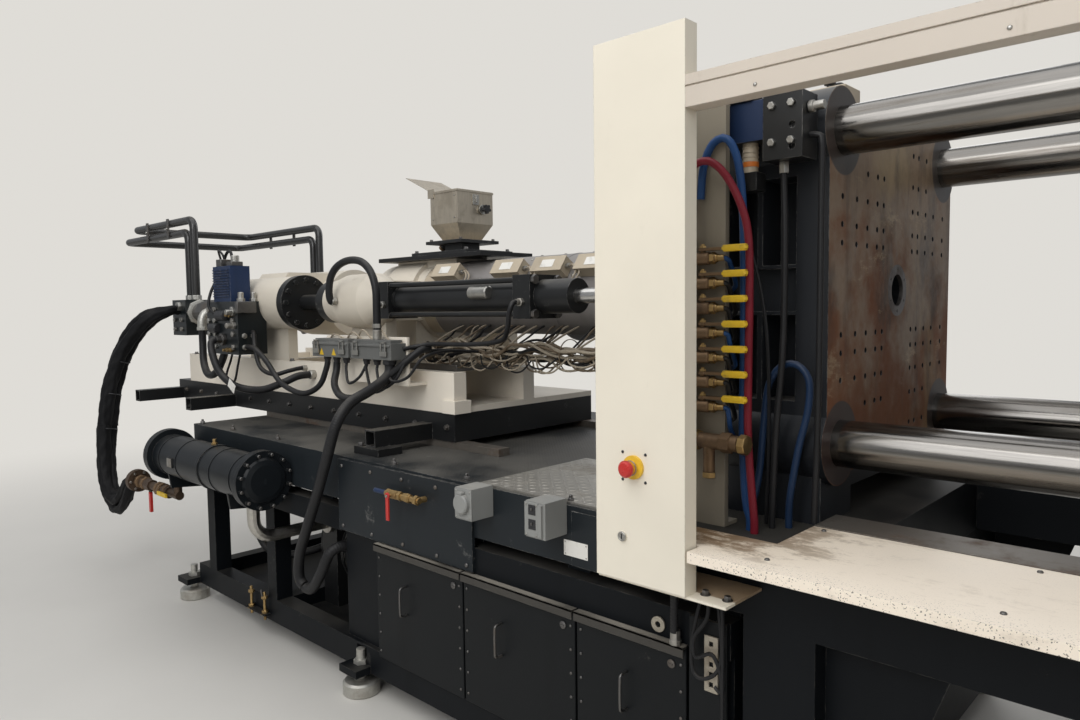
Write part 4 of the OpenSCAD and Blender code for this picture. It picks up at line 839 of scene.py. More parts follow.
def turned(profile: Sequence[float], centre: Point = ORIGIN, axis: str = "z", sides: int = 24,
           phase: float = 0.0) -> Shape:
    """Solid of revolution.

    Args:
        profile: height and radius in turn, in millimetres, from one end to the other.
        centre: where height 0 lies.
        axis: the direction of growing height, such as "x" or "-y".
        sides: corners round it; 6 makes a hexagon.
        phase: angle of the first corner in radians.
    Returns:
        The closed shape.
    """
    section = np.reshape(profile, (-1, 2)) / 1000.0
    flow = np.abs(np.append(0.0, section[1:, 0] - section[0, 0]))
    return stood(skin(spun(section, sides, phase), flow), centre, axis)


def ring(inner: float, outer: float, depth: float, centre: Point = ORIGIN, axis: str = "x",
         sides: int = 32) -> Shape:
    """Flat ring: a closed rectangle section, two radii by a depth, carried round the axis.

    Args:
        inner: inner radius.
        outer: outer radius.
        depth: length along the axis.
        centre: middle of its foot.
        axis: x, y or z.
        sides: corners round it.
    Returns:
        The shape.
    """
    section = np.array([(0.0, inner), (0.0, outer), (depth, outer), (depth, inner)])
    body = skin(spun(section, sides), np.zeros(4), False)
    col = np.arange(sides)
    after = (col + 1) % sides
    body.faces.append(np.stack([3 * sides + col, 3 * sides + after, after, col], -1))
    return stood(body, centre, axis)


def block(low: Point, high: Point) -> Shape:
    """Box from its lowest to its highest corner.

    Args:
        low: lowest corner.
        high: highest corner.
    Returns:
        The shape.
    """
    corners = np.array([[x, y, z] for x in (0, 1) for y in (0, 1) for z in (0, 1)], float)
    points = np.asarray(low) + corners * (np.asarray(high) - np.asarray(low))
    quads = np.array(
        [[0, 1, 3, 2], [4, 6, 7, 5], [0, 4, 5, 1], [2, 3, 7, 6], [0, 2, 6, 4], [1, 5, 7, 3]])
    return Shape(points, [quads], np.zeros(8))


def unit(vectors: np.ndarray) -> np.ndarray:
    """Rows scaled to length 1."""
    return vectors / np.linalg.norm(vectors, axis=-1, keepdims=True)


def distance(path: np.ndarray) -> np.ndarray:
    """Distance along a path at each of its points."""
    return np.append(0.0, np.cumsum(np.linalg.norm(np.diff(path, axis=0), axis=1)))


def curve(points: Sequence[Point], step: float = 0.02) -> np.ndarray:
    """Smooth path through the points: Catmull-Rom, where each span is a cubic of its four
    neighbouring points, sampled about every step metres.

    Args:
        points: the points.
        step: distance between rows in metres.
    Returns:
        Rows of x, y and z.
    """
    knots = np.asarray(points, float)
    wide = np.concatenate([[2 * knots[0] - knots[1]], knots, [2 * knots[-1] - knots[-2]]])
    length = np.linalg.norm(np.diff(knots, axis=0), axis=1)
    count = np.maximum(2, np.ceil(length / step)).astype(int)
    span = np.repeat(np.arange(len(knots) - 1), count)
    t = np.concatenate([np.arange(c) / c for c in count])[:, None]
    a, b, c, d = (wide[span + k] for k in range(4))
    path = 0.5 * (2 * b + (c - a) * t + (2 * a - 5 * b + 4 * c - d) * t ** 2
                  + (3 * b - a - 3 * c + d) * t ** 3)
    return np.concatenate([path, knots[-1:]])


def tube(path: np.ndarray, radius: Union[float, np.ndarray], sides: int = 12,
         crumple: float = 0.0) -> Shape:
    """Round section carried along a path.

    Ring i = path i + radius x (cos a x side + sin a x lift), where side is the cross product of
    the path's direction and the direction in which the path bends least; crumple adds a sum of
    sines of distance and angle to the radius.

    Args:
        path: points of the path.
        radius: one radius, or one for each point.
        sides: corners round the section.
        crumple: height of the folds in metres.
    Returns:
        The closed shape.
    """
    ahead = unit(np.gradient(path, axis=0))
    side = unit(np.cross(ahead, np.linalg.svd(ahead)[2][-1]))
    lift = np.cross(ahead, side)
    flow = distance(path)
    angle = np.arange(sides) * 2 * math.pi / sides
    reach = np.broadcast_to(np.asarray(radius, float), (len(path),))[:, None] + np.zeros((1, sides))
    if crumple:
        s, a = flow[:, None], angle[None]
        fold = np.sin(s * 23 + 3 * a + 1.5 * np.sin(s * 11)) + 0.5 * np.sin(s * 61 - 4 * a + 1.7) \
            + 0.7 * np.sin(s * 9 + a * 6 + 0.4) + 0.25 * np.sin(s * 140 + 5 * a)
        reach = reach + crumple * fold / 2.2
    grid = path[:, None] + reach[..., None] * (
        np.cos(angle)[None, :, None] * side[:, None] + np.sin(angle)[None, :, None] * lift[:, None])
    return skin(grid, flow)


def hose(route: Sequence[Point], radius: float, sides: int = 12, step: float = 0.012) -> Shape:
    """Round hose or pipe on the smooth curve through a route's points."""
    return tube(curve(route, step), radius, sides)


def hex_bolt(size: float, axis: str = "z", washer: bool = True) -> Shape:
    """Hexagon head of a given width in millimetres over a washer, on its seat along the axis.

    Args:
        size: width across the flats in mm.
        axis: where its head points.
        washer: whether it has one.
    Returns:
        The shape.
    """
    r = size * 0.58
    head = turned((0, r * 0.93, size * 0.04, r, size * 0.52, r, size * 0.62, r * 0.85), sides=6)
    if washer:
        pad = turned((0, size * 0.8, size * 0.12, size * 0.8), sides=20)
        head = joined([pad, head.shifted(0, 0, size * 0.12 / 1000.0)])
    return stood(head, ORIGIN, axis)


def screw_head(size: float, axis: str = "z") -> Shape:
    """Domed round screw head of a given width in millimetres."""
    r = size / 2
    return turned(
        (0, r, r * 0.35, r * 0.96, r * 0.6, r * 0.75, r * 0.7, r * 0.35), axis=axis, sides=14)


# ------------ pieces

SLOTS: Dict[str, str] = {finish.name: slot for slot, finishes in {
    "bare_steel": (STEEL, DARK_STEEL, BRACKET), "brass_fitting": (BRASS,), "tread_steel": (TREAD,),
    "pipe_steel": (BRONZE, ZINC), "hopper_steel": (HOPPER_STEEL,), "frame_paint": (FRAME,),
    "panel_paint": (PANEL, ANGLE), "cover_paint": (COVER,), "beige_paint": (BEIGE, TAG),
    "black_paint": (BLACK, BLUE), "cooler_paint": (COOLER,), "grey_box": (GREY, CONNECTOR),
    "black_plastic": (BLACK_PLASTIC,), "yellow_plastic": (YELLOW,), "red_plastic": (RED,),
    "hose_rubber": (CABLE_GREY, CABLE_BROWN, HOSE_BLUE, HOSE_STEEL_BLUE, HOSE_RED, HOSE_BLACK,
                    CONDUIT, SLEEVE)}.items() for finish in finishes}


@dataclass
class SubAssembly:
    """A group of dressed pieces that rides on one body."""

    body: str = "machine_base"

    def add(self, name: str, shapes: Union[Shape, Sequence[Shape]], finish: Finish,
            bevel: float = 0.0, body: Optional[str] = None, slot: Optional[str] = None,
            sharp: float = 38.0, ride: bool = True) -> bpy.types.Object:
        """Turn shapes into one scene piece.

        Args:
            name: the piece's name.
            shapes: its shape or shapes.
            finish: its finish.
            bevel: width of the rounded edges in metres.
            body: the body it rides on, if not the group's.
            slot: not used; the record's material slot it would take after, if not its finish's own.
            sharp: edges steeper than this many degrees stay sharp.
            ride: False where it rides on no body.
        Returns:
            The object.
        """
        whole = shapes if isinstance(shapes, Shape) else joined(shapes)
        mesh = bpy.data.meshes.new(name)
        mesh.from_pydata(
            whole.points.tolist(), [], [face for part in whole.faces for face in part.tolist()])
        store = mesh.attributes.new("flow", "FLOAT_VECTOR", "POINT")
        store.data.foreach_set("vector", np.outer(whole.flow, (1, 0, 0)).astype(np.float32).ravel())
        work = bmesh.new()
        work.from_mesh(mesh)
        bmesh.ops.recalc_face_normals(work, faces=work.faces[:])
        work.to_mesh(mesh)
        work.free()
        mesh.polygons.foreach_set("use_smooth", np.ones(len(mesh.polygons), bool))
        mesh.set_sharp_from_angle(angle=math.radians(sharp))
        thing = bpy.data.objects.new(name, mesh)
        bpy.context.scene.collection.objects.link(thing)
        mesh.materials.append(PAINTSHOP.material(finish))
        if bevel:
            edge = thing.modifiers.new("edges", "BEVEL")
            edge.width, edge.segments, edge.limit_method = bevel, 2, "ANGLE"
            edge.angle_limit = math.radians(50)
            edge.harden_normals = False
        slot or SLOTS[finish.name]
        if ride:
            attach(thing, body or self.body)
        LOG.info("%s: %d points on %s", name, len(whole.points), body or self.body)
        return thing


@dataclass
class DeckDress(SubAssembly):
    """Lugs of the tread plate, screws, plates and pipe stub on the machine's deck and skirts."""

    tread: Tuple[float, ...] = (0.508, 1.232, -0.812, -0.268)
    tread_top: float = 0.961
    pitch: float = 0.03
    side: float = 0.838
    front: float = -0.85

    def lugs(self) -> Shape:
        """Lens-shaped lugs on a chequer grid; every second one is turned a quarter round.

        Height over a lens of 7 x 5 points = 1.8 mm x (root of 1 - along squared)
        x (1 - across squared) - 0.2 mm.
        """
        u, v = np.meshgrid(np.linspace(-1, 1, 7), np.linspace(-1, 1, 5), indexing="ij")
        half = np.sqrt(np.clip(1 - u ** 2, 0, 1))
        dome = 0.0018 * half * (1 - v ** 2) - 0.0002
        x0, x1, y0, y1 = self.tread
        spots = rows(np.arange(x0 + 0.014, x1 - 0.012, self.pitch),
                     np.arange(y0 + 0.014, y1 - 0.012, self.pitch), self.tread_top)
        odd = np.rint((spots[:, :2] - (x0, y0)) / self.pitch).sum(1) % 2 > 0
        row, col = np.meshgrid(np.arange(6), np.arange(4), indexing="ij")
        k = (row * 5 + col).ravel()
        quads = np.stack([k, k + 5, k + 6, k + 1], -1)
        a, b = u * 0.013, v * half * 0.0042
        lugs = []
        for turn, mask in ((math.pi / 4, odd), (-math.pi / 4, ~odd)):
            points = np.stack([a * math.cos(turn) - b * math.sin(turn),
                               a * math.sin(turn) + b * math.cos(turn), dome], -1)
            lugs.append(Shape(
                points.reshape(-1, 3), [quads], np.zeros(u.size)).repeated(spots[mask]))
        return joined(lugs)

    def build(self) -> None:
        """Make the deck's pieces."""
        self.add("tread_lugs", self.lugs(), TREAD)
        self.add("skirt_screws", screw_head(16, "-y").grid(
            [-0.3, -0.1, 0.1, 0.3, 0.46], self.front, [0.672, 0.918]), DARK_STEEL)
        stud = joined([hex_bolt(19), turned((0, 6, 22, 6, 24, 4), sides=12)])
        edge = self.side - 0.03
        self.add("deck_bolts", stud.grid(
            [-1.70, -1.35, -0.9, -0.45, 0.0, 0.42, 0.9], [-edge, edge], 0.955), DARK_STEEL)
        self.add("blank_plate", block(
            (0.9, -0.8425, 0.801), (0.994, -0.841, 0.849)), TAG, 0.0005, slot="grey_box")
        self.add("plate_rivets", screw_head(5, "-y").grid(
            [0.906, 0.988], -0.8425, [0.807, 0.843]), STEEL)
        self.pipe_stub()
        self.panel_trim()
        self.slotted_bracket()
        self.anchor_straps()

    def pipe_stub(self) -> None:
        """Threaded pipe that rises from the deck with a rounded elbow at its top."""
        x, y = 1.06, -0.79
        route = [
            (x, y, 0.962), (x, y, 1.03), (1.064, y, 1.062), (1.082, y, 1.08), (1.108, y, 1.082)]
        self.add("deck_pipe_elbow", [hose(route, 0.021, 20, 0.006),
                                     turned((0, 31, 12, 33, 14, 26, 30, 26), (x, y, 0.961)),
                                     turned((0, 28, 24, 28), (x, y, 1.0), sides=8),
                                     turned((0, 27, 18, 27, 20, 22), (1.1, y, 1.082), "x")],
                 BRONZE, 0.001)

    def panel_trim(self) -> None:
        """Bolted side panels in place of the plain sheets: folded sheet, dusty top angle, wire
        handle, quarter-turn lock and a row of rivets down both edges.

        The last panel on the near side ends before the clamp base, with a narrow plate beside it.
        """
        rivet = screw_head(9.5, "-y")
        wire = hose([(0, 0, 0), (0, -0.026, 0.003), (0, -0.031, 0.02), (0, -0.031, 0.09),
                     (0, -0.026, 0.107), (0, 0, 0.11)], 0.0042, 10, 0.006)
        lock = joined([turned((0, 12, 3, 12, 5, 9), axis="-y"),
                       block((-0.007, -0.0075, -0.0015), (0.007, -0.0048, 0.0015))])
        back, lip = -self.side - 0.0003, -self.side - 0.028
        for mark, flip, cuts in (("near", 1, (-0.075, 0.438, 0.951, 1.343, 1.464)),
                                 ("far", -1, (-0.075, 0.438, 0.951, 1.464))):
            sheets, trims, metal = [], [], []
            for left, right in zip(cuts, cuts[1:]):
                narrow = right - left < 0.2
                low, high = left + 0.004, right - 0.004
                sheets.append(block(
                    (low, self.front, 0.189), (high, back, 0.735 if narrow else 0.645)))
                if narrow:
                    continue
                trims += [block((low, lip, 0.639), (high, back, 0.646)),
                          block((low, lip, 0.617), (high, lip + 0.003, 0.646))]
                metal += [rivet.grid([left + 0.02, right - 0.02], self.front,
                                     np.arange(0.22, 0.62, 0.074)),
                          wire.shifted(left + 0.19, self.front, 0.405),
                          lock.shifted(right - 0.05, self.front, 0.585)]
            mirror = np.diag([1, flip, 1])
            sheet = self.add(f"side_panels_{mark}", joined(sheets).moved(mirror), PANEL, 0.0025)
            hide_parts("access_panels")
            self.add(f"panel_angles_{mark}", joined(trims).moved(mirror), ANGLE, 0.001)
            self.add(f"panel_rivets_{mark}", joined(metal).moved(mirror), DARK_STEEL)

    def slotted_bracket(self) -> None:
        """Slotted plate beside the last panel, the leads looped over it, the conduit that comes
        down to the panel and the round lug above it."""
        x0, x1, y = 1.398, 1.438, -0.8503
        bars = [block((x, y - 0.006, 0.548), (x + 0.014, y, 0.697)) for x in (x0, x1 - 0.014)]
        bars += [block((x0 + 0.013, y - 0.006, z), (x1 - 0.013, y, z + 0.014))
                 for z in np.linspace(0.548, 0.683, 6)]
        self.add("slotted_bracket", bars, BRACKET, 0.001)
        leads = [
            [(1.39, -0.839, 0.81), (1.39, -0.852, 0.8), (1.382, -0.868, 0.74),
             (1.37, -0.872, 0.66), (1.375, -0.872, 0.6), (1.4, -0.872, 0.585), (1.44, -0.87, 0.61),
             (1.456, -0.868, 0.66), (1.452, -0.864, 0.72), (1.436, -0.852, 0.79),
             (1.43, -0.839, 0.8)],
            [(1.41, -0.839, 0.83), (1.41, -0.854, 0.82), (1.415, -0.87, 0.75),
             (1.38, -0.876, 0.69), (1.385, -0.876, 0.64), (1.43, -0.874, 0.66),
             (1.452, -0.87, 0.62), (1.455, -0.866, 0.57), (1.444, -0.86, 0.56),
             (1.43, -0.8565, 0.568)],
            [(1.45, -0.839, 0.82), (1.45, -0.856, 0.81), (1.458, -0.866, 0.74),
             (1.459, -0.868, 0.6), (1.459, -0.868, 0.42), (1.456, -0.864, 0.3),
             (1.45, -0.8503, 0.27)]]
        self.add("post_leads", [hose(route, 0.0052, 9, 0.01) for route in leads], HOSE_BLACK)
        x = 1.31
        pipe = [(x, -0.8385, 0.815), (x, -0.852, 0.812), (x, -0.861, 0.8), (x, -0.862, 0.78),
                (x, -0.862, 0.68)]
        self.add("panel_conduit", hose(pipe, 0.011, 14, 0.008), CONDUIT)
        self.add("conduit_union", turned(
            (0, 16, 14, 16, 16, 14, 40, 14), (x, -0.857, 0.6462), sides=8), STEEL, 0.0008)
        self.add("round_lug", ring(
            0.0085, 0.022, 0.006, (1.244, -self.side - 0.0062, 0.678), "y"), BRACKET, 0.0008)

    def anchor_straps(self) -> None:
        """Threaded studs with brass nuts in front of the lower beams, as holding-down straps."""
        nut = turned((0, 13, 2, 15, 13, 15, 15, 13), sides=6)
        stud = joined([turned((0, 7, 130, 7, 133, 5), sides=12), nut.shifted(0, 0, 0.1),
                       nut.shifted(0, 0, 0.03), turned((0, 20, 3, 20), (0, 0, 0.027), sides=20)])
        self.add("strap_studs", stud.grid([-1.12, -0.99], -self.side - 0.016, 0.092), BRASS)
        self.add("strap_plate", block(
            (-1.15, -self.side - 0.034, 0.118), (-0.96, -self.side + 0.001, 0.124)), FRAME, 0.001)


@dataclass
class GuardDress(SubAssembly):
    """Screws, lock and rings on the guard post, its beam and the sliding gate."""

    front: float = -1.018

    def build(self) -> None:
        """Make the guard's pieces."""
        x, y, z = 1.295, self.front, 1.149
        self.add("stop_screws", screw_head(8, "-y").grid(
            [x - 0.035, x + 0.035], y, [z - 0.035, z + 0.035]), BLACK_PLASTIC)
        self.add("stop_rim", ring(0.0172, 0.0195, 0.004, (x, y - 0.0185, z), "y"), STEEL, 0.0004)
        self.add("stop_button_rim", ring(
            0.0203, 0.0215, 0.0055, (x, y - 0.0375, z), "y", 40), RED, 0.0003, "estop_button")
        self.add("post_lock", turned((0, 12.5, 3, 12.5, 4.2, 11, 4.2, 9, 3, 8.5),
                                     (1.259, y - 0.003, 0.967), "-y", 32), STEEL)
        # the lock's key slit is a raised black block: painted shade standing in for the dark inside
        # of the opening
        self.add("post_lock_slit_painted_shade", block(
            (1.2575, y - 0.0068, 0.9605), (1.2605, y - 0.0058, 0.9735)), BLACK_PLASTIC)
        self.add("beam_screws", screw_head(9, "-y").grid(
            [1.62, 2.1, 2.58, 3.06, 3.54], y, 2.022), STEEL)
        self.add("post_foot_bolts", hex_bolt(16).grid([1.47, 1.53], y + 0.05, 0.8521), DARK_STEEL)
        self.add("shelf_screws", screw_head(13).grid(
            [1.62, 2.1], [-0.64, -0.948], 0.965), DARK_STEEL)
        self.add("gate_screws", screw_head(10, "-y").grid(
            np.linspace(2.66, 3.61, 7), -1.0122, [1.035, 1.975]), DARK_STEEL, body="gate")


@dataclass
class PlatenDress(SubAssembly):
    """Fittings on the fixed platen: ring screws, top box and hydraulic block parts."""

    def build(self) -> None:
        """Make the platen's pieces."""
        socket = joined(
            [ring(0.0025, 0.0052, 0.0042, sides=12), turned((0, 5.2, 1, 5.2), axis="x", sides=12)])
        spots = circle((FACE_X - 0.005, 0.0, AXIS_H), 0.066, range(90, -270, -60))
        self.add("ring_screws", socket.repeated(spots), DARK_STEEL)
        top = 2.1102
        self.add("top_box", block((1.44, -0.36, top), (1.545, -0.25, top + 0.058)), BEIGE, 0.004)
        knob = turned((0, 9, 8, 9, 10, 16, 22, 17, 26, 12))
        self.add("top_box_knobs", knob.grid(1.49, [-0.335, -0.275], top + 0.058), BLACK_PLASTIC)
        self.hydraulics()

    def hydraulics(self) -> None:
        """Plugs, plug-in head and pipes of the block on the platen's near side."""
        plug = turned((0, 11, 8, 11, 10, 9), axis="-y", sides=6)
        self.add("hydraulic_plugs", [
            plug.grid([1.466, 1.52], -0.6384, [1.975, 2.07]),
            turned((0, 13, 20, 13), (1.51, -0.594, 2.1), "z", 6),
            turned((0, 9, 35, 9), (1.47, -0.594, 2.1), "z", 12),
            turned((0, 16, 12, 16, 14, 12, 40, 12), (1.552, -0.6, 2.06), "x", 16),
            turned((0, 14, 30, 14), (1.478, -0.592, 1.93), "-z", 6)], STEEL, 0.0006)
        self.add("solenoid_caps", [
            turned((0, 34, 6, 38, 50, 38, 56, 30), (1.3095, -0.596, 2.043), "-x"),
            block((1.335, -0.642, 2.0965), (1.405, -0.57, 2.118))], BLACK_PLASTIC, 0.003)
        self.add("plug_seal", turned((0, 22.5, 14, 22.5, 16, 20), (1.382, -0.596, 1.9265)),
                 Plastic("orange_seal", (0.6, 0.17, 0.03)), slot="yellow_plastic")
        self.add("plug_ribs", ring(0.0205, 0.0225, 0.004, axis="z").grid(
            1.382, -0.596, np.arange(1.94, 1.986, 0.012)), BEIGE)
        lead = [
            (1.382, -0.63, 1.88), (1.386, -0.645, 1.84), (1.39, -0.64, 1.77), (1.4, -0.625, 1.7),
            (1.42, -0.61, 1.6), (1.44, -0.604, 1.45), (1.446, -0.602, 1.2), (1.44, -0.604, 0.945)]
        self.add("solenoid_lead", hose(lead, 0.005, 8, 0.03), HOSE_BLACK)
        line = [
            (1.55, -0.594, 1.99), (1.575, -0.594, 1.985), (1.583, -0.594, 1.96),
            (1.583, -0.594, 1.8), (1.583, -0.596, 1.5), (1.58, -0.596, 1.2), (1.574, -0.598, 0.97)]
        self.add("side_pressure_line", hose(line, 0.0085, 10, 0.03), HOSE_BLACK)


@dataclass
class ValveBank(SubAssembly):
    """Ball valves of the cooling-water header with their nuts, unions and short hoses."""

    count: int = 7
    top: float = 1.677
    pitch: float = 0.067
    y: float = -0.722

    def build(self) -> None:
        """Make the valves' unions, nuts, grips, tails and gauge."""
        y, levels = self.y, self.top - np.arange(self.count) * self.pitch
        union = joined([turned((0, 15.5, 1, 16.5, 11, 16.5, 12, 15.5), axis="x", sides=6),
                        turned((12, 12.5, 20, 10.5), axis="x", sides=18)])
        self.add("valve_unions", union.grid([1.2865, 1.336], y, levels), BRASS)
        stem = joined([turned((0, 9.5, 6, 9.5), sides=6), turned((6, 5, 10.5, 5, 11, 4), sides=12)])
        for i, z in enumerate(levels):
            handle = f"valve_handle_{i + 1}"
            self.add(f"lever_nut_{i + 1}", stem.shifted(1.31, y, z + 0.0284), BRASS, body=handle)
            self.add(f"lever_grip_{i + 1}", self.grip(z), YELLOW, body=handle)
        barb = turned((0, 9.5, 8, 7.5, 8, 9.5, 16, 7.5, 16, 9.5, 24, 7.5), axis="x", sides=16)
        self.add("valve_barbs", barb.grid(1.3522, y, levels), BRASS)
        for i, z in enumerate(levels):
            low = z - 0.02 - 0.006 * i
            route = [(1.366, y, z), (1.374, y + 0.002, z - 0.001), (1.379, y + 0.014, z - 0.006),
                     (1.376, y + 0.032, low), (1.3705, y + 0.06, low - 0.03),
                     (1.36, y + 0.085, low - 0.055), (1.33, y + 0.1, low - 0.07)]
            self.add(f"valve_tail_{i + 1}", hose(route, 0.0068, 10, 0.008),
                     HOSE_BLACK if i % 3 else HOSE_BLUE)
        self.add("header_gauge", [
            turned((0, 27, 2, 29, 20, 29, 22, 26), (1.25, -0.7425, 1.775), "-y", 28),
            turned((0, 9, 30, 9), (1.25, -0.73, 1.735), "z", 8)], DARK_STEEL, 0.0006)
        self.add("strainer_unions", [
            turned((0, 25.5, 2, 27.5, 20, 27.5, 22, 25.5), (1.425, y, 1.18), "x", 8),
            turned((0, 28.5, 16, 28.5, 20, 22), (1.284, y, 1.18), "x", 8),
            turned((0, 19.5, 14, 19.5, 16, 16), (1.33, y, 1.094), "-z", 6)], BRASS, 0.0008)

    def grip(self, z: float) -> Shape:
        """Flattened vinyl sleeve over the lever's outer half: a tube whose round section goes
        most of the way to a square, because each point moves out by 1 / largest share ^ 0.7.

        Args:
            z: height of the valve.
        Returns:
            The shape.
        """
        along = np.array([0.0, 0.0012, 0.004, 0.0615, 0.0643, 0.0655]) + 1.374
        middle = np.array([self.y, z + 0.0243])
        sleeve = tube(np.column_stack([along, np.tile(middle, (6, 1))]),
                      np.array([0.8, 0.95, 1.0, 1.0, 0.95, 0.8]) * 0.0112, 24)
        off = sleeve.points[:, 1:] - middle
        reach = np.linalg.norm(off, axis=1, keepdims=True)
        square = np.abs(off / np.maximum(reach, 1e-9)).max(1, keepdims=True)
        sleeve.points[:, 1:] = off / np.maximum(square, 1e-9) ** 0.7 * (0.8, 0.84) + middle
        return sleeve


@dataclass
class Hoses(SubAssembly):
    """Smooth hoses in place of the plain solids, along the same routes."""

    blue: Tuple[Point, ...] = (
        (1.29, -0.7025, 1.84), (1.3, -0.703, 1.93), (1.33, -0.704, 1.985), (1.372, -0.704, 1.99),
        (1.396, -0.69, 1.93), (1.402, -0.672, 1.8), (1.404, -0.668, 1.6), (1.404, -0.668, 1.4),
        (1.402, -0.668, 1.2), (1.412, -0.668, 1.02), (1.425, -0.668, 0.97), (1.425, -0.668, 0.9383))
    red: Tuple[Point, ...] = (
        (1.262, -0.703, 1.79), (1.26, -0.717, 1.87), (1.282, -0.729, 1.925), (1.33, -0.73, 1.935),
        (1.375, -0.718, 1.895), (1.415, -0.704, 1.81), (1.43, -0.692, 1.72), (1.432, -0.69, 1.56),
        (1.43, -0.69, 1.38), (1.43, -0.69, 1.2), (1.442, -0.69, 1.05), (1.45, -0.69, 0.97),
        (1.45, -0.69, 0.9383))
    loop: Tuple[Point, ...] = (
        (1.406, -0.625, 0.9383), (1.406, -0.625, 0.985), (1.416, -0.6, 1.08), (1.42, -0.58, 1.24),
        (1.432, -0.578, 1.33), (1.465, -0.576, 1.38), (1.51, -0.575, 1.388), (1.545, -0.575, 1.35),
        (1.545, -0.576, 1.27), (1.52, -0.578, 1.16), (1.5, -0.58, 1.04), (1.495, -0.58, 0.985),
        (1.495, -0.58, 0.9383))
    black: Tuple[Point, ...] = (
        (1.478, -0.592, 1.9297), (1.478, -0.592, 1.88), (1.484, -0.596, 1.76), (1.486, -0.6, 1.56),
        (1.484, -0.606, 1.4), (1.47, -0.61, 1.2), (1.462, -0.612, 0.98), (1.462, -0.612, 0.9383))
    supply: Tuple[Point, ...] = (
        (-0.31, -0.594, 1.332), (-0.308, -0.604, 1.27), (-0.3, -0.7, 1.215), (-0.29, -0.81, 1.17),
        (-0.285, -0.88, 1.09), (-0.33, -0.9, 0.95), (-0.4, -0.905, 0.8), (-0.49, -0.905, 0.64),
        (-0.57, -0.9, 0.5), (-0.59, -0.89, 0.39), (-0.52, -0.88, 0.36), (-0.44, -0.88, 0.44),
        (-0.39, -0.86, 0.54), (-0.37, -0.8, 0.56), (-0.364, -0.74, 0.52))
    bundle: Tuple[Point, ...] = (
        (-2.68, -0.5105, 1.56), (-2.68, -0.565, 1.56), (-2.73, -0.7, 1.5), (-2.83, -0.8, 1.33),
        (-2.87, -0.87, 1.1), (-2.85, -0.92, 0.85), (-2.8, -0.95, 0.62), (-2.71, -0.965, 0.47),
        (-2.59, -0.968, 0.41), (-2.47, -0.968, 0.44), (-2.35, -0.97, 0.555), (-2.275, -0.97, 0.605),
        (-2.2205, -0.97, 0.605))
    girth: Tuple[float, ...] = (
        0.044, 0.056, 0.07, 0.076, 0.078, 0.076, 0.072, 0.066, 0.06, 0.054, 0.048, 0.044, 0.044)
    arch: Tuple[Point, ...] = (
        (-0.77, -0.5585, 1.591), (-0.77, -0.586, 1.591), (-0.768, -0.596, 1.64),
        (-0.75, -0.594, 1.705), (-0.7, -0.59, 1.75), (-0.61, -0.59, 1.772), (-0.51, -0.59, 1.762),
        (-0.44, -0.59, 1.715), (-0.405, -0.59, 1.64), (-0.402, -0.59, 1.54), (-0.402, -0.59, 1.42))
    crumple: float = 0.0055

    def build(self) -> None:
        """Make every hose."""
        for name, route, radius, finish in (("blue", self.blue, 0.0108, HOSE_BLUE),
                                            ("red", self.red, 0.0105, HOSE_RED),
                                            ("loop", self.loop, 0.0098, HOSE_STEEL_BLUE),
                                            ("black", self.black, 0.009, HOSE_BLACK)):
            made = self.add(f"water_hose_{name}", hose(route, radius, 14, 0.02), finish)
            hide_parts("water_hoses")
        self.supply_run()
        self.bundle_run()
        self.arch_run()

    def supply_run(self) -> None:
        """Ribbed conduit from the connector block down to the loop in the frame."""
        made = self.add("supply_conduit", hose(self.supply, 0.0225, 20), CONDUIT, ride=False)
        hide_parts("supply_hose")
        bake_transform(made)
        self.add("supply_gland", turned((0, 27, 2, 29, 20, 29, 22, 26), (-0.31, -0.594, 1.3135),
                                        sides=8), BLACK_PLASTIC, body="carriage")

    def bundle_run(self) -> None:
        """Three woven sleeves side by side, crumpled, with ties, from the oil line to the drive.

        Girth over the path follows the route's own points; a lane lies a share of the girth off the
        path. The sleeves are made as an upper and a lower half, which ride on no body."""
        knots = np.asarray(self.bundle)
        path = curve(self.bundle, 0.012)
        flow = distance(path)
        near = [int(np.argmin(np.linalg.norm(path - knot, axis=1))) for knot in knots]
        girth = np.interp(flow, flow[near], self.girth)
        ahead = unit(np.gradient(path, axis=0))
        across = unit(np.cross(ahead, (0.25, 1.0, 0.1)))
        deep = np.cross(ahead, across)
        ease = np.clip(np.minimum(flow, flow[-1] - flow) / 0.2, 0, 1)
        ease = ease * ease * (3 - 2 * ease)
        lanes = []
        for side, depth, share in ((0.47, 0.1, 0.53), (-0.5, 0.05, 0.48), (0.02, -0.42, 0.44)):
            sway = 0.05 * np.sin(flow * 5.5 + side * 9) * ease
            lane = path + across * ((side * ease + sway) * girth)[:, None] \
                + deep * (depth * ease * girth)[:, None]
            lanes.append((lane, girth * share))
        middle = near[5]
        for mark, span, bodies, start, end in (
                ("upper", slice(0, middle + 1), ("injection", "carriage"), knots[1], knots[4]),
                ("lower", slice(middle, None), ("carriage", "machine_base"), knots[5], knots[8])):
            shapes = [tube(lane[span], radius[span], 32, self.crumple) for lane, radius in lanes]
            made = self.add(f"hose_sleeves_{mark}", shapes, SLEEVE, sharp=70.0, ride=False)
            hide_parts("carriage_hoses")
            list(bodies)
            tuple(start)
            tuple(end)
            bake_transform(made)
        bands = []
        spin = np.linspace(0, 2 * math.pi, 41)
        for s in (0.52, 0.74, 0.96):
            i = int(np.argmin(np.abs(flow - s)))
            hoop = path[i] + 1.03 * girth[i] * np.cos(spin)[:, None] * across[i] \
                + girth[i] * (0.72 * np.sin(spin) - 0.14)[:, None] * deep[i]
            bands.append(tube(hoop, 0.0035, 6))
        self.add("sleeve_ties", bands, BLACK_PLASTIC, body="carriage")

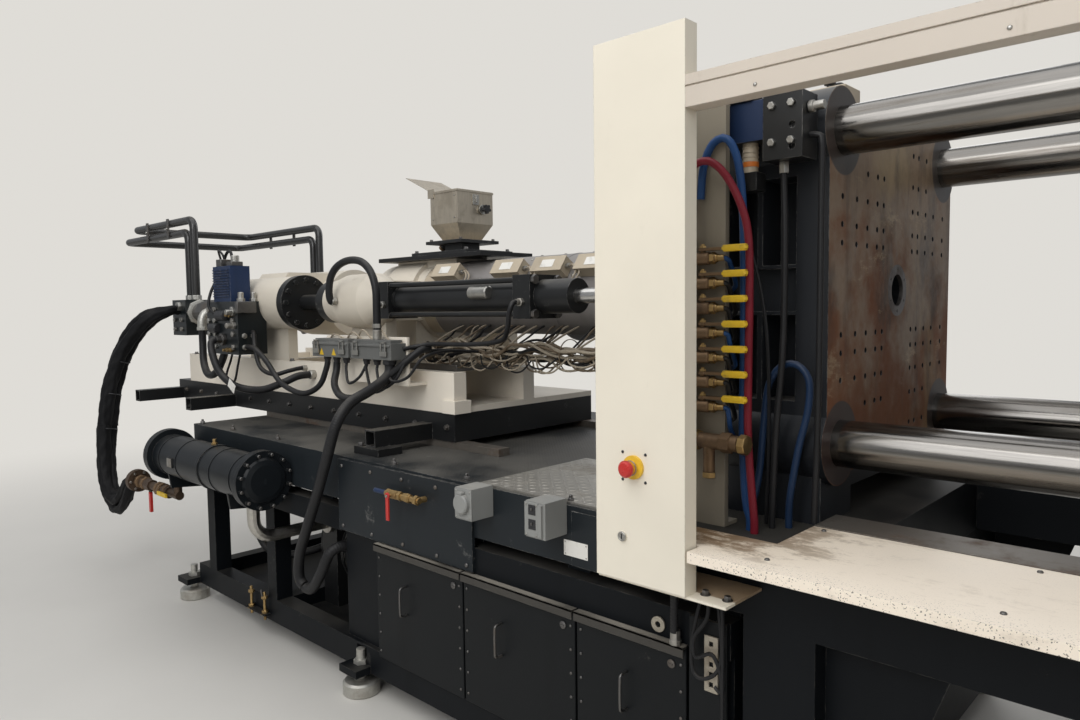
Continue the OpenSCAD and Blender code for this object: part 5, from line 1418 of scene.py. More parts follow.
    def arch_run(self) -> None:
        """Black hose that arches from the housing's boss over to the connector block."""
        made = self.add("arch_hose", hose(self.arch, 0.0168, 18), HOSE_BLACK, body="carriage")
        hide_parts("carriage_hoses")
        self.add("arch_fittings", [
            turned((0, 18, 2, 20.5, 26, 20.5, 28, 18), (-0.77, -0.559, 1.591), "-y", 6),
            turned((0, 19, 40, 19, 42, 17), (-0.402, -0.59, 1.42), "z", 18),
            turned((0, 19.5, 18, 19.5), (-0.402, -0.59, 1.47), "z", 6)], STEEL, body="carriage")


@dataclass
class BarrelDress(SubAssembly):
    """Screws, straps, tags, leads and the cable loom of the heated barrel."""

    body: str = "carriage"
    cover_r: float = 0.19

    def build(self) -> None:
        """Make the barrel's pieces."""
        dome = turned((0, 6.5, 2, 6.5, 3.5, 3.5), (0.0, 0.0, self.cover_r), sides=12)
        self.add("cover_screws", [dome.moved(tilt(degrees), (x, 0.0, AXIS_H))
                                  for x in (-0.36, -0.2, 0.06, 0.2, 0.36, 0.56, 0.8, 1.08)
                                  for degrees in (8, 28, 62)], STEEL)
        self.add("cover_seams", [self.strap(x, 0.006) for x in (0.27, 0.76)], COVER)
        self.boxes()
        self.loom()
        self.cylinder_detail()

    def strap(self, x: float, width: float) -> Shape:
        """Thin band on the cover: a section of 1.7 mm x width along an arc of 264 degrees.

        Args:
            x: its middle along the barrel.
            width: its width.
        Returns:
            The shape.
        """
        a = np.radians(np.linspace(-132, 132, 60))
        outward = np.stack([0 * a, -np.sin(a), np.cos(a)], -1)
        path = (x, 0.0, AXIS_H) + outward * (self.cover_r + 0.0002)
        corners = [
            (-width / 2, -0.0005), (width / 2, -0.0005), (width / 2, 0.0012), (-width / 2, 0.0012)]
        grid = np.stack([path + (along, 0.0, 0.0) + lift * outward for along, lift in corners], 1)
        return skin(grid, np.linspace(0, 1, 60))

    def boxes(self) -> None:
        """Tags, lids and leads of the heater terminal boxes; each sits square on its box."""
        turn = tilt(55)
        down, out = -turn[:, 1], turn[:, 2]
        axis = (0.0, 0.0, AXIS_H)
        top = self.cover_r + 0.052
        tags, lids, leads, glands = [], [], [], []
        for x in (-0.488, -0.076, 0.168, 0.406, 0.65):
            lids.append(block((x - 0.002, -0.037, top), (x + 0.172, 0.037, top + 0.004)))
            tags.append(block((x + 0.05, -0.02, top + 0.004), (x + 0.12, 0.018, top + 0.0055)))
            glands.append(turned((0, 11, 18, 11, 20, 8), (x + 0.17, 0.0, top - 0.02), "x", 6))
            start = turn @ (x + 0.188, 0.0, top - 0.02) + axis
            for k in range(2):
                reach = 0.03 + 0.02 * k
                leads.append(hose([start, start + (0.02 + 0.012 * k, 0, 0) + out * 0.004,
                                   start + (0.03 + reach, 0, 0) + down * 0.04 + out * 0.012,
                                   start + (0.018 + reach, 0, 0) + down * 0.08 + out * 0.004,
                                   start + (0.01, 0, 0) + down * 0.115 - out * 0.02],
                                  0.0042, 8, 0.008))
        self.add("box_lids", joined(lids).moved(turn, axis), BEIGE, 0.0015)
        self.add("box_tags", joined(tags).moved(turn, axis), TAG, 0.0004)
        self.add("box_glands", joined(glands).moved(turn, axis), STEEL)
        self.add("box_leads", leads, CABLE_GREY)

    def loom(self) -> None:
        """Cables under the barrel: each is a path along x with slow sines in y and z, and drops
        rise from the bundle into the open underside of the cover."""
        chance = np.random.default_rng(11)
        x = np.linspace(-0.53, 1.0, 90)
        for finish, count, mark in ((CABLE_GREY, 9, "grey"), (CABLE_BROWN, 6, "brown"),
                                    (HOSE_BLACK, 4, "black")):
            runs = []
            for _ in range(count):
                phase = chance.uniform(0, 6.28, 4)
                y = -0.235 + chance.uniform(-0.05, 0.05) + 0.024 * np.sin(x * 11 + phase[0]) \
                    + 0.011 * np.sin(x * 31 + phase[1])
                z = 1.353 + chance.uniform(-0.02, 0.03) + 0.017 * np.sin(x * 9 + phase[2]) \
                    + 0.01 * np.sin(x * 27 + phase[3]) - 0.014 * np.cos(x * 12.6)
                runs.append(tube(np.stack([x, y, z], -1), chance.uniform(0.004, 0.0075), 7))
            for start in np.linspace(-0.42, 0.92, count + 5):
                at = start + chance.uniform(-0.05, 0.05)
                swing = chance.uniform(0.03, 0.11)
                lane = -0.235 + chance.uniform(-0.04, 0.04)
                runs.append(hose([
                    (at, lane, 1.365), (at + swing * 0.4, lane - 0.01, 1.385),
                    (at + swing, lane + 0.02, 1.425), (at + swing * 1.3, -0.17, 1.462),
                    (at + swing * 1.4, -0.1, 1.485), (at + swing * 1.4, -0.075, 1.5)],
                    chance.uniform(0.0035, 0.0055), 7))
                low = 1.35 - chance.uniform(0.015, 0.06)
                runs.append(hose([(at, lane - 0.03, 1.35), (at + 0.04, lane - 0.05, low),
                                  (at + 0.11, lane - 0.05, low - 0.005),
                                  (at + 0.17, lane - 0.03, 1.35)], 0.0036, 7))
            self.add(f"loom_{mark}", runs, finish)
        self.add("loom_ties", ring(0.064, 0.0665, 0.005, sides=28).grid(
            [-0.36, 0.02, 0.4, 0.78], -0.237, 1.357), CABLE_BROWN, slot="black_plastic")
        self.add("loom_tray", [block((-0.5, -0.4, 1.2804), (-0.1, -0.02, 1.2854)),
                               block((-0.5, -0.4, 1.2804), (-0.1, -0.396, 1.308))],
                 DARK_STEEL, 0.001)

    def cylinder_detail(self) -> None:
        """Tie-rod nuts, gland rings, ports, feed hose and sensor of the contact cylinders."""
        nut = turned((0, 16.5, 1, 17.5, 14, 17.5, 15, 16.5), axis="x", sides=6)
        self.add("tie_rod_nuts", nut.grid(
            0.4502, [-0.494, -0.366, 0.366, 0.494], [AXIS_H - 0.064, AXIS_H + 0.064]), DARK_STEEL)
        self.add("tube_rings", ring(0.0622, 0.066, 0.012, sides=40).grid(
            [-0.42, 0.34], [-0.43, 0.43], AXIS_H), BLACK, 0.0008)
        port = joined([turned((0, 17, 12, 17, 14, 14), axis="-y", sides=6),
                       turned((12, 11, 30, 11), axis="-y", sides=14)])
        self.add("cylinder_ports", port.grid([-0.46, 0.405], -0.5122, AXIS_H - 0.02), STEEL)
        feed = [(0.405, -0.542, -0.02), (0.404, -0.556, -0.024), (0.395, -0.566, -0.06),
                (0.37, -0.552, -0.12), (0.3, -0.52, -0.165), (0.1, -0.49, -0.185),
                (-0.15, -0.487, -0.19), (-0.22, -0.52, -0.2), (-0.246, -0.57, -0.21)]
        self.add("cylinder_feed", hose(np.add(feed, (0, 0, AXIS_H)), 0.0095, 12, 0.015), HOSE_BLACK)
        self.add("position_sensor", turned(
            (0, 24, 2, 26, 100, 26, 104, 22), (0.115, -0.5, AXIS_H + 0.02), "x", 20), STEEL)


@dataclass
class CarriageDress(SubAssembly):
    """Connector lids, latches, looped cables, leads and screws of the carriage."""

    body: str = "carriage"

    def build(self) -> None:
        """Make the carriage's pieces."""
        self.connectors()
        self.loops()
        self.leads()
        self.add("wall_bolts", hex_bolt(18).grid(
            [-2.6, -2.2, -1.8, -1.4, -1.05], [-0.443, 0.443], 1.2803), DARK_STEEL)
        self.add("sub_frame_bolts", hex_bolt(18, "-y").grid(
            np.arange(-2.75, -0.1, 0.22), -0.4502, 1.045), DARK_STEEL)
        self.add("shoe_bolts", hex_bolt(20).grid(-0.31, [-0.75, -0.67], 0.986), DARK_STEEL)

    def connectors(self) -> None:
        """Heavy plug housings: lids, side latches with pins, glands below, marks in front."""
        lids, latches, glands = [], [], []
        back, face = -0.6362, -0.6405
        for x0 in (-0.87, -0.55):
            lids.append(block((x0 + 0.006, back, 1.3905), (x0 + 0.294, -0.5585, 1.4012)))
            for x in (x0 + 0.022, x0 + 0.232):
                latches += [block((x + left, face, low), (x + right, back, high))
                            for left, right, low, high in (
                                (0.0, 0.046, 1.352, 1.372), (0.004, 0.012, 1.37, 1.412),
                                (0.034, 0.042, 1.37, 1.412), (0.004, 0.042, 1.406, 1.414))]
            glands.append(turned((0, 17.5, 12, 17.5, 14, 15, 26, 13.5), axis="-z", sides=16).grid(
                [x0 + 0.07, x0 + 0.15, x0 + 0.23], -0.594, 1.335))
        self.add("connector_lids", lids, CONNECTOR, 0.0025)
        self.add("connector_latches", latches, STEEL, 0.0006)
        self.add("connector_glands", glands, BLACK_PLASTIC)
        mark = turned((0, 21, 1.2, 20.5), axis="-y", sides=3, phase=math.pi / 2)
        self.add("connector_marks", mark.grid([-0.79, -0.688], -0.6302, 1.354), YELLOW)

    def loops(self) -> None:
        """Hoses that hang in loops from the connectors, and the unions on the wall."""
        routes = [
            [(-0.72, -0.594, 1.309), (-0.718, -0.6, 1.27), (-0.69, -0.63, 1.21),
             (-0.6, -0.655, 1.165), (-0.48, -0.66, 1.165), (-0.38, -0.64, 1.21),
             (-0.3, -0.6, 1.27), (-0.235, -0.56, 1.33), (-0.2, -0.51, 1.375),
             (-0.19, -0.47, 1.385)],
            [(-0.8, -0.594, 1.309), (-0.802, -0.6, 1.28), (-0.83, -0.62, 1.2),
             (-0.92, -0.64, 1.155), (-1.05, -0.64, 1.16), (-1.18, -0.64, 1.2),
             (-1.3, -0.64, 1.29), (-1.4, -0.645, 1.35), (-1.46, -0.648, 1.362),
             (-1.4999, -0.65, 1.362)]]
        self.add("carriage_loop_1", hose(routes[0], 0.0165, 14, 0.015), HOSE_BLACK)
        made = self.add("carriage_loop_2", hose(
            routes[1], 0.0135, 14, 0.015), HOSE_BLACK, ride=False)
        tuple(routes[1][-1])
        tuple(routes[1][3])
        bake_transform(made)
        self.add("wall_unions", [
            turned((0, 23, 28, 23, 31, 19.5), (-1.165, -0.4502, 1.22), "-y", 16),
            turned((0, 16, 22, 16, 24, 13), (-1.245, -0.4502, 1.25), "-y", 6)], STEEL)

    def leads(self) -> None:
        """Thin leads below the connectors and pale ones over their lids."""
        chance = np.random.default_rng(5)
        thin = []
        for x in (-0.48, -0.4, -0.32, -0.64):
            dip = chance.uniform(0.05, 0.12)
            wide = chance.uniform(0.12, 0.22)
            thin.append(hose([
                (x, -0.594, 1.31), (x + 0.004, -0.6, 1.28), (x + wide * 0.4, -0.618, 1.3 - dip),
                (x + wide * 0.9, -0.6, 1.3 - dip * 0.6), (x + wide * 1.15, -0.56, 1.34),
                (x + wide * 1.25, -0.5, 1.365), (x + wide * 1.3, -0.4, 1.37),
                (x + wide * 1.5, -0.29, 1.362)], 0.0065, 8))
        self.add("connector_leads", thin, HOSE_BLACK)
        pale = [hose([(x, -0.556, 1.40), (x + 0.03, -0.56, 1.43),
                      (x + 0.09, -0.575, 1.436 + 0.012 * k), (x + 0.16, -0.57, 1.415),
                      (x + 0.24, -0.565, 1.405)], 0.004, 7)
                for k, x in enumerate((-0.84, -0.7, -0.62, -0.5))]
        self.add("bracket_leads", pale, CABLE_GREY)


@dataclass
class DriveDress(SubAssembly):
    """Valves, plugs, fittings and leads on the injection drive and its manifold."""

    body: str = "injection"
    front: float = -0.6902

    def build(self) -> None:
        """Make the drive's pieces."""
        self.fittings()
        self.solenoids()
        self.leads()
        self.clamps()
        self.add("motor_rings", ring(0.1302, 0.136, 0.012, sides=48).grid(
            [-2.325, -2.28, -2.235], 0.0, AXIS_H), BLACK, 0.001)
        spots = circle((-1.9602, 0.0, AXIS_H), 0.165, range(0, 360, 45))
        self.add("motor_bolts", hex_bolt(22, "-x", False).repeated(spots), DARK_STEEL)

    def fittings(self) -> None:
        """Hexagon plugs, unions and cartridge valves over the blocks' faces."""
        y = self.front
        plug = turned((0, 14, 1, 15.5, 11, 15.5, 13, 12), axis="-y", sides=6)
        side = turned((0, 14, 11, 15.5, 13, 12), axis="x", sides=6)
        self.add("block_plugs", [
            plug.grid([-1.83, -1.76, -1.55], y, [1.36, 1.43, 1.5, 1.56]),
            side.grid(-1.4998, [-0.66, -0.61], [1.36, 1.42, 1.56]),
            plug.grid([-2.74, -2.64], -0.5102, [1.44, 1.5])], STEEL)
        at = (-1.66, y, 1.4)
        self.add("block_unions", [turned((0, 30, 1, 32, 20, 32, 22, 28), at, "-y", 8),
                                  turned((20, 21, 50, 21), at, "-y", 20)], DARK_STEEL, 0.0008)
        self.add("pipe_unions", [
            turned((0, 30, 1, 33, 26, 33, 30, 28), sides=6).grid([-2.6, -2.68], -0.43, 1.6262),
            turned((0, 30, 22, 30), (-2.66, -0.5104, 1.585), "-y", 6)], STEEL, 0.001)
        x = -2.2
        self.add("mid_unions", [
            turned((0, 75, 14, 82, 30, 82, 34, 70), axis="x", sides=8).grid(
                [-2.575, -1.95], -0.43, AXIS_H - 0.045),
            hose([(x, -0.505, 1.546), (x, -0.55, 1.54), (x, -0.572, 1.5), (x, -0.574, 1.44)],
                 0.026, 18, 0.01),
            turned((0, 34, 22, 34), (x, -0.5, 1.546), "-y", 8),
            turned((0, 32, 20, 32), (x, -0.574, 1.46), "-z", 8)], ZINC, 0.001)
        stubs = []
        for axis, spots in (("-y", rows(-1.535, y, [1.475, 1.545])),
                            ("z", rows(-1.528, [-0.655, -0.585], 1.6012))):
            stubs.append(joined([turned((0, 21, 16, 21), axis=axis, sides=6),
                                 turned((16, 15, 46, 15, 49, 11), axis=axis, sides=18)])
                         .repeated(spots))
        self.add("cartridge_valves", stubs, STEEL, 0.0008)
        port = turned((0, 12, 12, 12, 14, 8, 30, 8), axis="-y", sides=8)
        self.add("brass_ports", port.grid([-1.58, -1.62], y, [1.345, 1.53]), BRASS)

    def solenoids(self) -> None:
        """Coils, caps and plug-in heads of the directional valves on the front block."""
        self.add("valve_coils", [
            turned((0, 26, 2, 28, 90, 28, 94, 22), (-1.7, -0.7, 1.528), "x"),
            turned((0, 24, 2, 26, 75, 26, 80, 20), (-1.79, -0.7, 1.46), "x"),
            turned((0, 30, 2, 32, 60, 32, 64, 26), (-1.62, -0.63, 1.6012))],
            BLACK_PLASTIC, 0.0008)
        self.add("plug_heads", [block((-1.76, -0.676, 1.7912), (-1.7, -0.606, 1.83)),
                                block((-1.66, -0.665, 1.7912), (-1.6, -0.6, 1.815)),
                                block((-1.496, -0.706, 1.54), (-1.468, -0.6, 1.6))],
                 DARK_STEEL, 0.003, slot="grey_box")
        fin = block((-0.092, -0.0632, -0.0025), (0.092, -0.0597, 0.0025))
        self.add("valve_fins", fin.grid(-1.68, -0.63, np.arange(1.63, 1.77, 0.014)), BLUE)
        self.add("valve_caps", [
            turned((0, 22, 30, 22, 34, 18), (-1.63, -0.63, 1.815), "z", 20),
            block((-1.87, -0.665, 1.48), (-1.8602, -0.6, 1.57))], STEEL, 0.001)

    def leads(self) -> None:
        """Hoses and leads round the manifold, hung in loops between fittings."""
        routes = [
            (0.019, [(-1.66, -0.74, 1.4), (-1.655, -0.765, 1.385), (-1.62, -0.775, 1.32),
                     (-1.55, -0.77, 1.23), (-1.44, -0.74, 1.165), (-1.3, -0.68, 1.15),
                     (-1.205, -0.61, 1.185), (-1.17, -0.545, 1.216), (-1.165, -0.49, 1.22),
                     (-1.165, -0.4505, 1.22)]),
            (0.011, [(-1.5, -0.61, 1.44), (-1.47, -0.62, 1.43), (-1.42, -0.64, 1.36),
                     (-1.36, -0.645, 1.26), (-1.29, -0.61, 1.225), (-1.25, -0.55, 1.24),
                     (-1.245, -0.49, 1.25), (-1.245, -0.4505, 1.25)]),
            (0.021, [(-2.2, -0.574, 1.44), (-2.2, -0.574, 1.36), (-2.17, -0.585, 1.25),
                     (-2.08, -0.6, 1.185), (-1.98, -0.6, 1.2), (-1.92, -0.585, 1.28),
                     (-1.885, -0.58, 1.35), (-1.8602, -0.58, 1.365)]),
            (0.008, [(-1.7, -0.7, 1.528), (-1.72, -0.715, 1.54), (-1.77, -0.72, 1.58),
                     (-1.8, -0.69, 1.66), (-1.79, -0.64, 1.76), (-1.73, -0.63, 1.86),
                     (-1.68, -0.63, 1.87), (-1.66, -0.63, 1.83)]),
            (0.006, [(-1.73, -0.64, 1.83), (-1.735, -0.65, 1.86), (-1.78, -0.65, 1.88),
                     (-1.86, -0.6, 1.83), (-1.9, -0.56, 1.72), (-1.93, -0.53, 1.64)]),
            (0.006, [(-1.86, -0.63, 1.52), (-1.9, -0.64, 1.5), (-1.96, -0.62, 1.42),
                     (-1.98, -0.59, 1.34), (-1.93, -0.57, 1.3), (-1.86, -0.6, 1.33)]),
            (0.006, [(-1.7, -0.63, 1.3208), (-1.705, -0.64, 1.28), (-1.74, -0.65, 1.2),
                     (-1.69, -0.66, 1.15), (-1.62, -0.66, 1.18), (-1.6, -0.65, 1.26),
                     (-1.59, -0.64, 1.3208)])]
        for n, (radius, route) in enumerate(routes):
            crosses = n < 2
            made = self.add(
                f"drive_lead_{n + 1}", hose(route, radius), HOSE_BLACK, ride=not crosses)
            if crosses:
                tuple(route[2])
                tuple(route[-2])
                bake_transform(made)
        tag = block((0, -0.0008, 0), (0.075, 0.0008, 0.045))
        slant = [[0.86, 0.0, 0.5], [0.0, 1.0, 0.0], [-0.5, 0.0, 0.86]]
        self.add("hose_tag", tag.moved(slant, (-1.46, -0.775, 1.17)), TAG)

    def clamps(self) -> None:
        """Saddle clamps that hold the crossover pipes together."""
        self.add("pipe_clamps", [block((x, y, 2.03), (x + 0.03, y + 0.009, 2.165))
                                 for x in (-2.95, -3.3) for y in (-0.462, 0.453)],
                 DARK_STEEL, 0.001)
        self.add("clamp_bolts", hex_bolt(14, "-y", False).grid(
            [-2.935, -3.285], -0.4622, 2.0985), STEEL)


@dataclass
class HopperDress(SubAssembly):
    """Rim, latch, rivets, drain collar and flange bolts of the feed hopper."""

    body: str = "hopper"
    x: float = -0.506
    high: float = 2.12

    def build(self) -> None:
        """Make the hopper's pieces."""
        x0, x1, y0, y1 = self.x - 0.1, self.x + 0.1, -0.115, 0.115
        low, high, lap, lip = self.high - 0.012, self.high - 0.002, 0.0002, 0.003
        self.add("hopper_rim", [
            block((x0 - lip, y0 - lip, low), (x1 + lip, y0 + lap, high)),
            block((x1 - lap, y0 - lip, low), (x1 + lip, y1 + lip, high)),
            block((x0 - lip, y1 - lap, low), (x1 + lip, y1 + lip, high))], HOPPER_STEEL, 0.0008)
        self.add("hopper_bolts", hex_bolt(14).grid(
            [self.x - 0.11, self.x + 0.11], [-0.105, 0.105], 1.8803), DARK_STEEL)
        self.add("hopper_slide_bolts", hex_bolt(16).grid(
            [self.x - 0.19, self.x + 0.18], [-0.135, 0.135], 1.8265), DARK_STEEL)
        self.add("hopper_latch", [
            block((x1, -0.02, 2.05), (x1 + 0.006, 0.02, 2.1)),
            block((x1 + 0.006, -0.006, 2.06), (x1 + 0.014, 0.006, 2.095)),
            turned((0, 22, 3, 24, 12, 24), (x1 + lap, 0.04, 2.03), "x", 28)], STEEL, 0.001)
        self.add("hopper_rivets", turned((0, 4.5, 3, 4), axis="-y", sides=10).grid(
            [x0 + 0.02, x1 - 0.02], y0 - 0.0001, [1.985, 2.09]), STEEL)
        c, s = math.cos(math.radians(-135)), math.sin(math.radians(-135))
        turn = np.array([[c, 0, s], [0, 1, 0], [-s, 0, c]])
        end = turn @ (0.0, 0.0, 0.1) + (self.x - 0.07, 0.0, 1.93)
        collar = ring(0.0155, 0.0235, 0.012, axis="z", sides=28)
        self.add("drain_collar", collar.moved(turn, end), BRONZE, 0.0006)


@dataclass
class CoolerDress(SubAssembly):
    """Bands, studs, plate and fittings of the oil cooler and its pipes."""

    y: float = -0.97
    z: float = 0.815
    line_z: float = 0.605

    def build(self) -> None:
        """Make the cooler's pieces."""
        y, z = self.y, self.z
        self.add("cooler_seams", ring(0.1028, 0.1058, 0.008, sides=64).grid(
            [-1.62, -1.42, -1.05, -0.85], y, z), COOLER, 0.001)
        for x, axis, mark in ((-1.7584, "-x", "rear"), (-0.707, "x", "front")):
            nut = turned((0, 7.5, 6, 7.5, 8, 5.5), axis=axis, sides=10)
            self.add(f"cooler_studs_{mark}", nut.repeated(
                circle((x, y, z), 0.116, range(15, 375, 30))), DARK_STEEL)
        self.add("cooler_plate", block(
            (-1.494, y - 0.111, z - 0.021), (-1.446, y - 0.1078, z + 0.021)), STEEL, 0.0008)
        self.add("cooler_vents", [
            turned((0, 14, 12, 14, 14, 9, 30, 9), (-1.2, y, z + 0.102), "z", 6),
            turned((0, 12, 10, 12, 12, 9), (-1.6, y, z - 0.1022), "-z", 6)], BRASS)
        self.add("oil_line_unions", turned((0, 34, 2, 37, 20, 37, 22, 34), axis="x", sides=8).grid(
            [-2.17, -2.09, -1.9, -1.86, -1.79], y, self.line_z), BRONZE, 0.001)
        self.add("oil_flange_bolts", hex_bolt(13, "x", False).repeated(
            circle((-2.18, y, self.line_z), 0.048, range(0, 360, 60))), STEEL)
        self.add("frame_hook", hose([(-0.99, -0.838, 0.2), (-0.99, -0.862, 0.205),
                                     (-0.99, -0.87, 0.24)], 0.005, 8, 0.006), DARK_STEEL)
        self.inside_pipes()

    def inside_pipes(self) -> None:
        """Suction and return pipes of the pump inside the open frame."""
        silver = [(-0.835, -0.6, 0.535), (-0.83, -0.54, 0.53), (-0.8, -0.46, 0.5),
                  (-0.74, -0.4, 0.46), (-0.66, -0.38, 0.42)]
        self.add("pump_suction", hose(silver, 0.036, 20, 0.015),
                 Rubber("silver_jacket", (0.46, 0.45, 0.43), 0.4, 55.0, 0.1), slot="pipe_steel")
        low = [
            (-1.45, -0.66, 0.76), (-1.45, -0.66, 0.6), (-1.43, -0.66, 0.42), (-1.36, -0.64, 0.31),
            (-1.24, -0.59, 0.29), (-1.12, -0.52, 0.32), (-1.04, -0.46, 0.36)]
        high = [(-1.28, -0.5, 0.76), (-1.28, -0.5, 0.64), (-1.26, -0.49, 0.52),
                (-1.2, -0.46, 0.44), (-1.12, -0.42, 0.42), (-1.04, -0.4, 0.42)]
        self.add("pump_lines", [hose(low, 0.02, 14, 0.02), hose(high, 0.016, 14, 0.02)], CONDUIT)
        self.add("pump_line_unions", [
            turned((0, 30, 26, 30, 30, 24), (x, y, 0.7728), "-z", 6)
            for x, y in ((-1.45, -0.66), (-1.28, -0.5))], STEEL, 0.001)


@dataclass
class ElectricsDress(SubAssembly):
    """Cover plates, switch toggles and screws of the two outlet boxes, and the air valve's nuts."""

    front: float = -0.9341

    def build(self) -> None:
        """Make the small electrical pieces."""
        x1, x2, y = 0.507, 0.83, self.front
        self.add("outlet_plates", [
            block((x2 - 0.003, y - 0.003, 0.868), (x2 + 0.052, y, 0.972)),
            block((x1 - 0.002, y - 0.002, 0.866), (x1 + 0.08, y, 0.964))], GREY, 0.0015)
        switches = (0.9, 0.944)
        self.add("switch_toggles", [
            block((x2 + 0.026, y - 0.0085, z + 0.004), (x2 + 0.032, y - 0.004, z + 0.012))
            for z in switches], DARK_STEEL, 0.001, slot="black_plastic")
        self.add("switch_slots", [
            block((x2 + 0.015, y - 0.0048, z - 0.009), (x2 + 0.043, y - 0.0028, z + 0.021))
            for z in switches], BLACK_PLASTIC)
        self.add("round_lid", [
            turned((0, 34, 4, 33.5, 8, 29, 8.5, 20), (x1 + 0.038, y - 0.0102, 0.917), "-y", 40),
            block((x1 + 0.026, y - 0.018, 0.949), (x1 + 0.05, y - 0.002, 0.957))], GREY, 0.0008)
        self.add("outlet_screws", [
            screw_head(7, "-y").grid([x2 + 0.004, x2 + 0.046], y - 0.003, [0.874, 0.966]),
            screw_head(6, "-y").grid([x1 + 0.006, x1 + 0.072], y - 0.002, [0.873, 0.957])], STEEL)
        self.add("air_valve_nuts", turned((0, 16.5, 1, 18, 16, 18, 17, 16.5), axis="x", sides=6)
                 .grid([0.06, 0.128, 0.175, 0.225], -0.884, 0.867), BRASS)
        self.add("air_lever_nut", turned(
            (0, 6, 4, 6, 5, 4), (0.095, -0.9145, 0.867), "-y", 6), STEEL, body="air_valve_handle")


@dataclass
class Dressing:
    """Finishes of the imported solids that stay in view."""

    finishes: Dict[str, Finish] = field(default_factory=lambda: {
        "base_frame": FRAME, "clamp_base": FRAME, "leveling_feet": ZINC, "bed": BED,
        "tread_plate": TREAD, "guide_rails": IRON, "side_shelves": SHELF, "guard_post": POST,
        "guard_beam": BEAM, "estop_collar": COLLAR, "estop_button": RED, "gate": BEAM,
        "gate_window": CLEAR, "fixed_platen": PLATEN_FIXED, "locating_ring": BARREL,
        "tie_bars": CHROME, "moving_platen": PLATEN_MOVING, "tie_bar_locks": PLATEN_COAT,
        "ejector": STEEL, "clamp_manifold": MANIFOLD, "hose_column": COLUMN,
        "water_manifold": BRONZE, "cooler_shell": COOLER, "cooler_covers": COOLER,
        "cooler_pipework": PIPEWORK, "air_valve": AIR_VALVE, "air_valve_handle": RED,
        "outlet_boxes": GREY, "pump_motor": BLACK, "contact_rods": ROD, "carriage_frame": BLACK,
        "carriage_base": WHITE, "barrel_housing": CASTING, "barrel": BARREL,
        "barrel_cover": COVERING, "heater_boxes": BEIGE, "hopper_base": BLACK,
        "contact_cylinders": BLACK, "injection_rods": BLACK, "connector_block": CONNECTOR,
        "hopper": HOPPER, "hopper_lid": HOPPER_STEEL, "hopper_knob": BLACK_PLASTIC,
        "drive_housing": CASTING, "cylinder_heads": BLACK, "screw_motor": BLACK,
        "injection_manifold": OIL_BLOCK, "crossover_pipes": PIPE_BLACK, "screw": STEEL,
        **{f"valve_handle_{i}": LEVER for i in range(1, 8)}})

    def build(self, nodes: Dict[str, bpy.types.Object]) -> None:
        """Give every listed node its material.

        Args:
            nodes: the frame's nodes by name.
        """
        for name, finish in self.finishes.items():
            thing = nodes[name]
            material = PAINTSHOP.material(finish)
            if not thing.material_slots:
                thing.data.materials.append(material)
            for slot in thing.material_slots:
                slot.link = "OBJECT"
                slot.material = material
            LOG.info("%s wears %s", name, finish.name)


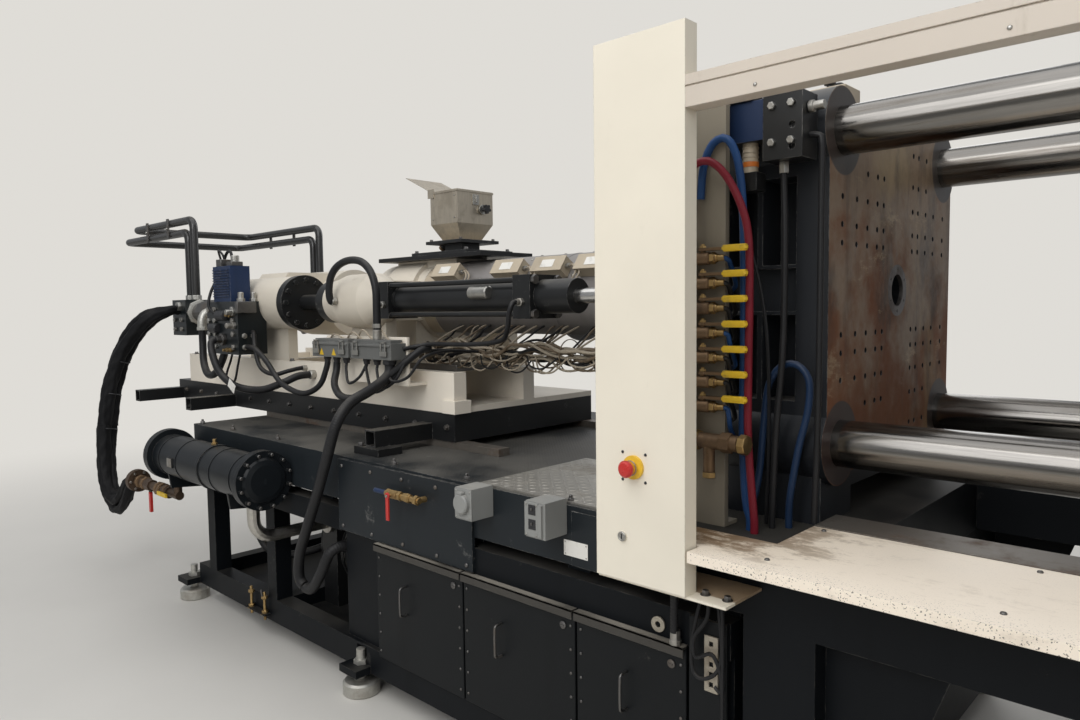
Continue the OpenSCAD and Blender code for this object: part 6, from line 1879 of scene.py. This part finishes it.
@dataclass
class Studio:
    """Pale floor and background, soft lamps and the camera of the photograph."""

    pale: Colour = (0.74, 0.72, 0.68)
    eye: Point = (2.460, -2.588, 1.55)
    yaw: float = 43.39
    pitch: float = 3.82
    roll: float = -0.69
    lens: float = 26.17

    def build(self) -> None:
        """Set up everything that is not the machine."""
        self.floor()
        self.sky()
        self.lamp("key", (1.6, -5.2, 4.6), (0.6, 0.0, 1.2), 4.5, 190.0)
        self.lamp("top", (-0.6, -1.0, 6.2), (-0.4, -0.2, 1.0), 6.5, 170.0)
        self.lamp("side", (7.5, -1.8, 3.6), (2.0, 0.0, 1.3), 3.5, 38.0)
        self.lamp("back", (-1.5, 5.6, 4.4), (0.0, 0.0, 1.0), 4.5, 90.0)
        self.camera()

    def floor(self) -> None:
        """Pale concrete that turns into the background's colour far away."""
        mesh = bpy.data.meshes.new("floor")
        mesh.from_pydata(
            [(-60, -60, 0), (60, -60, 0), (60, 60, 0), (-60, 60, 0)], [], [(0, 1, 2, 3)])
        thing = bpy.data.objects.new("floor", mesh)
        bpy.context.scene.collection.objects.link(thing)
        shop = Shop(bpy.data.materials.new("floor_pale"))
        colour = shop.tone((0.62, 0.6, 0.56), (shop.noise(1.3, 4.0) - 0.5) * 0.12 + 1.0)
        matt = shop.node("BsdfPrincipled", {"Base Color": colour, "Roughness": 0.55})
        glow = shop.node("Emission", {"Color": self.pale, "Strength": 1.0})
        reach = shop.node("VectorMath", {0: shop.place()}, "Value", operation="LENGTH")
        ray = shop.node("LightPath", output="Is Camera Ray")
        mix = shop.node("MixShader", {0: reach.step(2.2, 8.0) * ray, 1: matt, 2: glow})
        mesh.materials.append(shop.output(mix))

    def sky(self) -> None:
        """Even soft light; rays from the camera see the pale background."""
        world = bpy.data.worlds.new("studio")
        bpy.context.scene.world = world
        shop = Shop(world)
        ray = shop.node("LightPath", output="Is Camera Ray")
        soft = shop.node("Background", {"Color": (0.95, 0.97, 1.0), "Strength": 0.42})
        pale = shop.node("Background", {"Color": self.pale, "Strength": 1.0})
        mix = shop.node("MixShader", {0: ray, 1: soft, 2: pale})
        shop.output(mix, "OutputWorld")

    def hang(self, data: bpy.types.ID, side: np.ndarray, up: np.ndarray, ahead: np.ndarray,
             place: Point) -> bpy.types.Object:
        """Put a lamp or a camera into the scene.

        Args:
            data: the lamp or camera.
            side: its direction to the right.
            up: its upward direction.
            ahead: the direction it looks in.
            place: where it hangs.
        Returns:
            The object.
        """
        thing = bpy.data.objects.new(data.name, data)
        thing.matrix_world = Matrix(np.vstack(
            [np.column_stack([side, up, -ahead, place]), [0, 0, 0, 1]]).tolist())
        bpy.context.scene.collection.objects.link(thing)
        return thing

    def lamp(self, name: str, place: Point, aim: Point, size: float, watts: float) -> None:
        """Square soft lamp.

        Args:
            name: its name.
            place: where it hangs.
            aim: the point it faces.
            size: its side in metres.
            watts: its power.
        """
        light = bpy.data.lights.new(name, "AREA")
        light.shape, light.size, light.energy = "SQUARE", size, watts
        ahead = unit(np.subtract(aim, place))
        side = unit(np.cross(ahead, (0.0, 0.0, 1.0)))
        self.hang(light, side, np.cross(side, ahead), ahead, place)

    def camera(self) -> None:
        """Camera of the photograph: ahead, right and up axes from yaw, pitch and roll."""
        yaw, pitch, roll = np.radians((self.yaw, self.pitch, self.roll))
        level = np.array([-math.sin(yaw), math.cos(yaw), 0.0])
        right = np.array([math.cos(yaw), math.sin(yaw), 0.0])
        top = np.array([0.0, 0.0, 1.0])
        ahead = level * math.cos(pitch) - top * math.sin(pitch)
        raised = level * math.sin(pitch) + top * math.cos(pitch)
        lens = bpy.data.cameras.new("photo_camera")
        lens.lens, lens.sensor_width, lens.sensor_fit = self.lens, 36.0, "HORIZONTAL"
        lens.clip_end = 200.0
        bpy.context.scene.camera = self.hang(
            lens, right * math.cos(roll) + raised * math.sin(roll),
            raised * math.cos(roll) - right * math.sin(roll), ahead, self.eye)
        bpy.context.scene.view_settings.view_transform = "Standard"


def main() -> None:
    """Build every sub-assembly in order."""
    logging.basicConfig(level=logging.INFO, format="%(message)s")
    Studio().build()
    Dressing().build(frame["nodes"])
    for group in (DeckDress(), GuardDress(), PlatenDress(), ValveBank(), Hoses(), BarrelDress(),
                  CarriageDress(), DriveDress(), HopperDress(), CoolerDress(), ElectricsDress()):
        group.build()
        LOG.info("%s done", type(group).__name__)


if __name__ == "__main__":
    main()
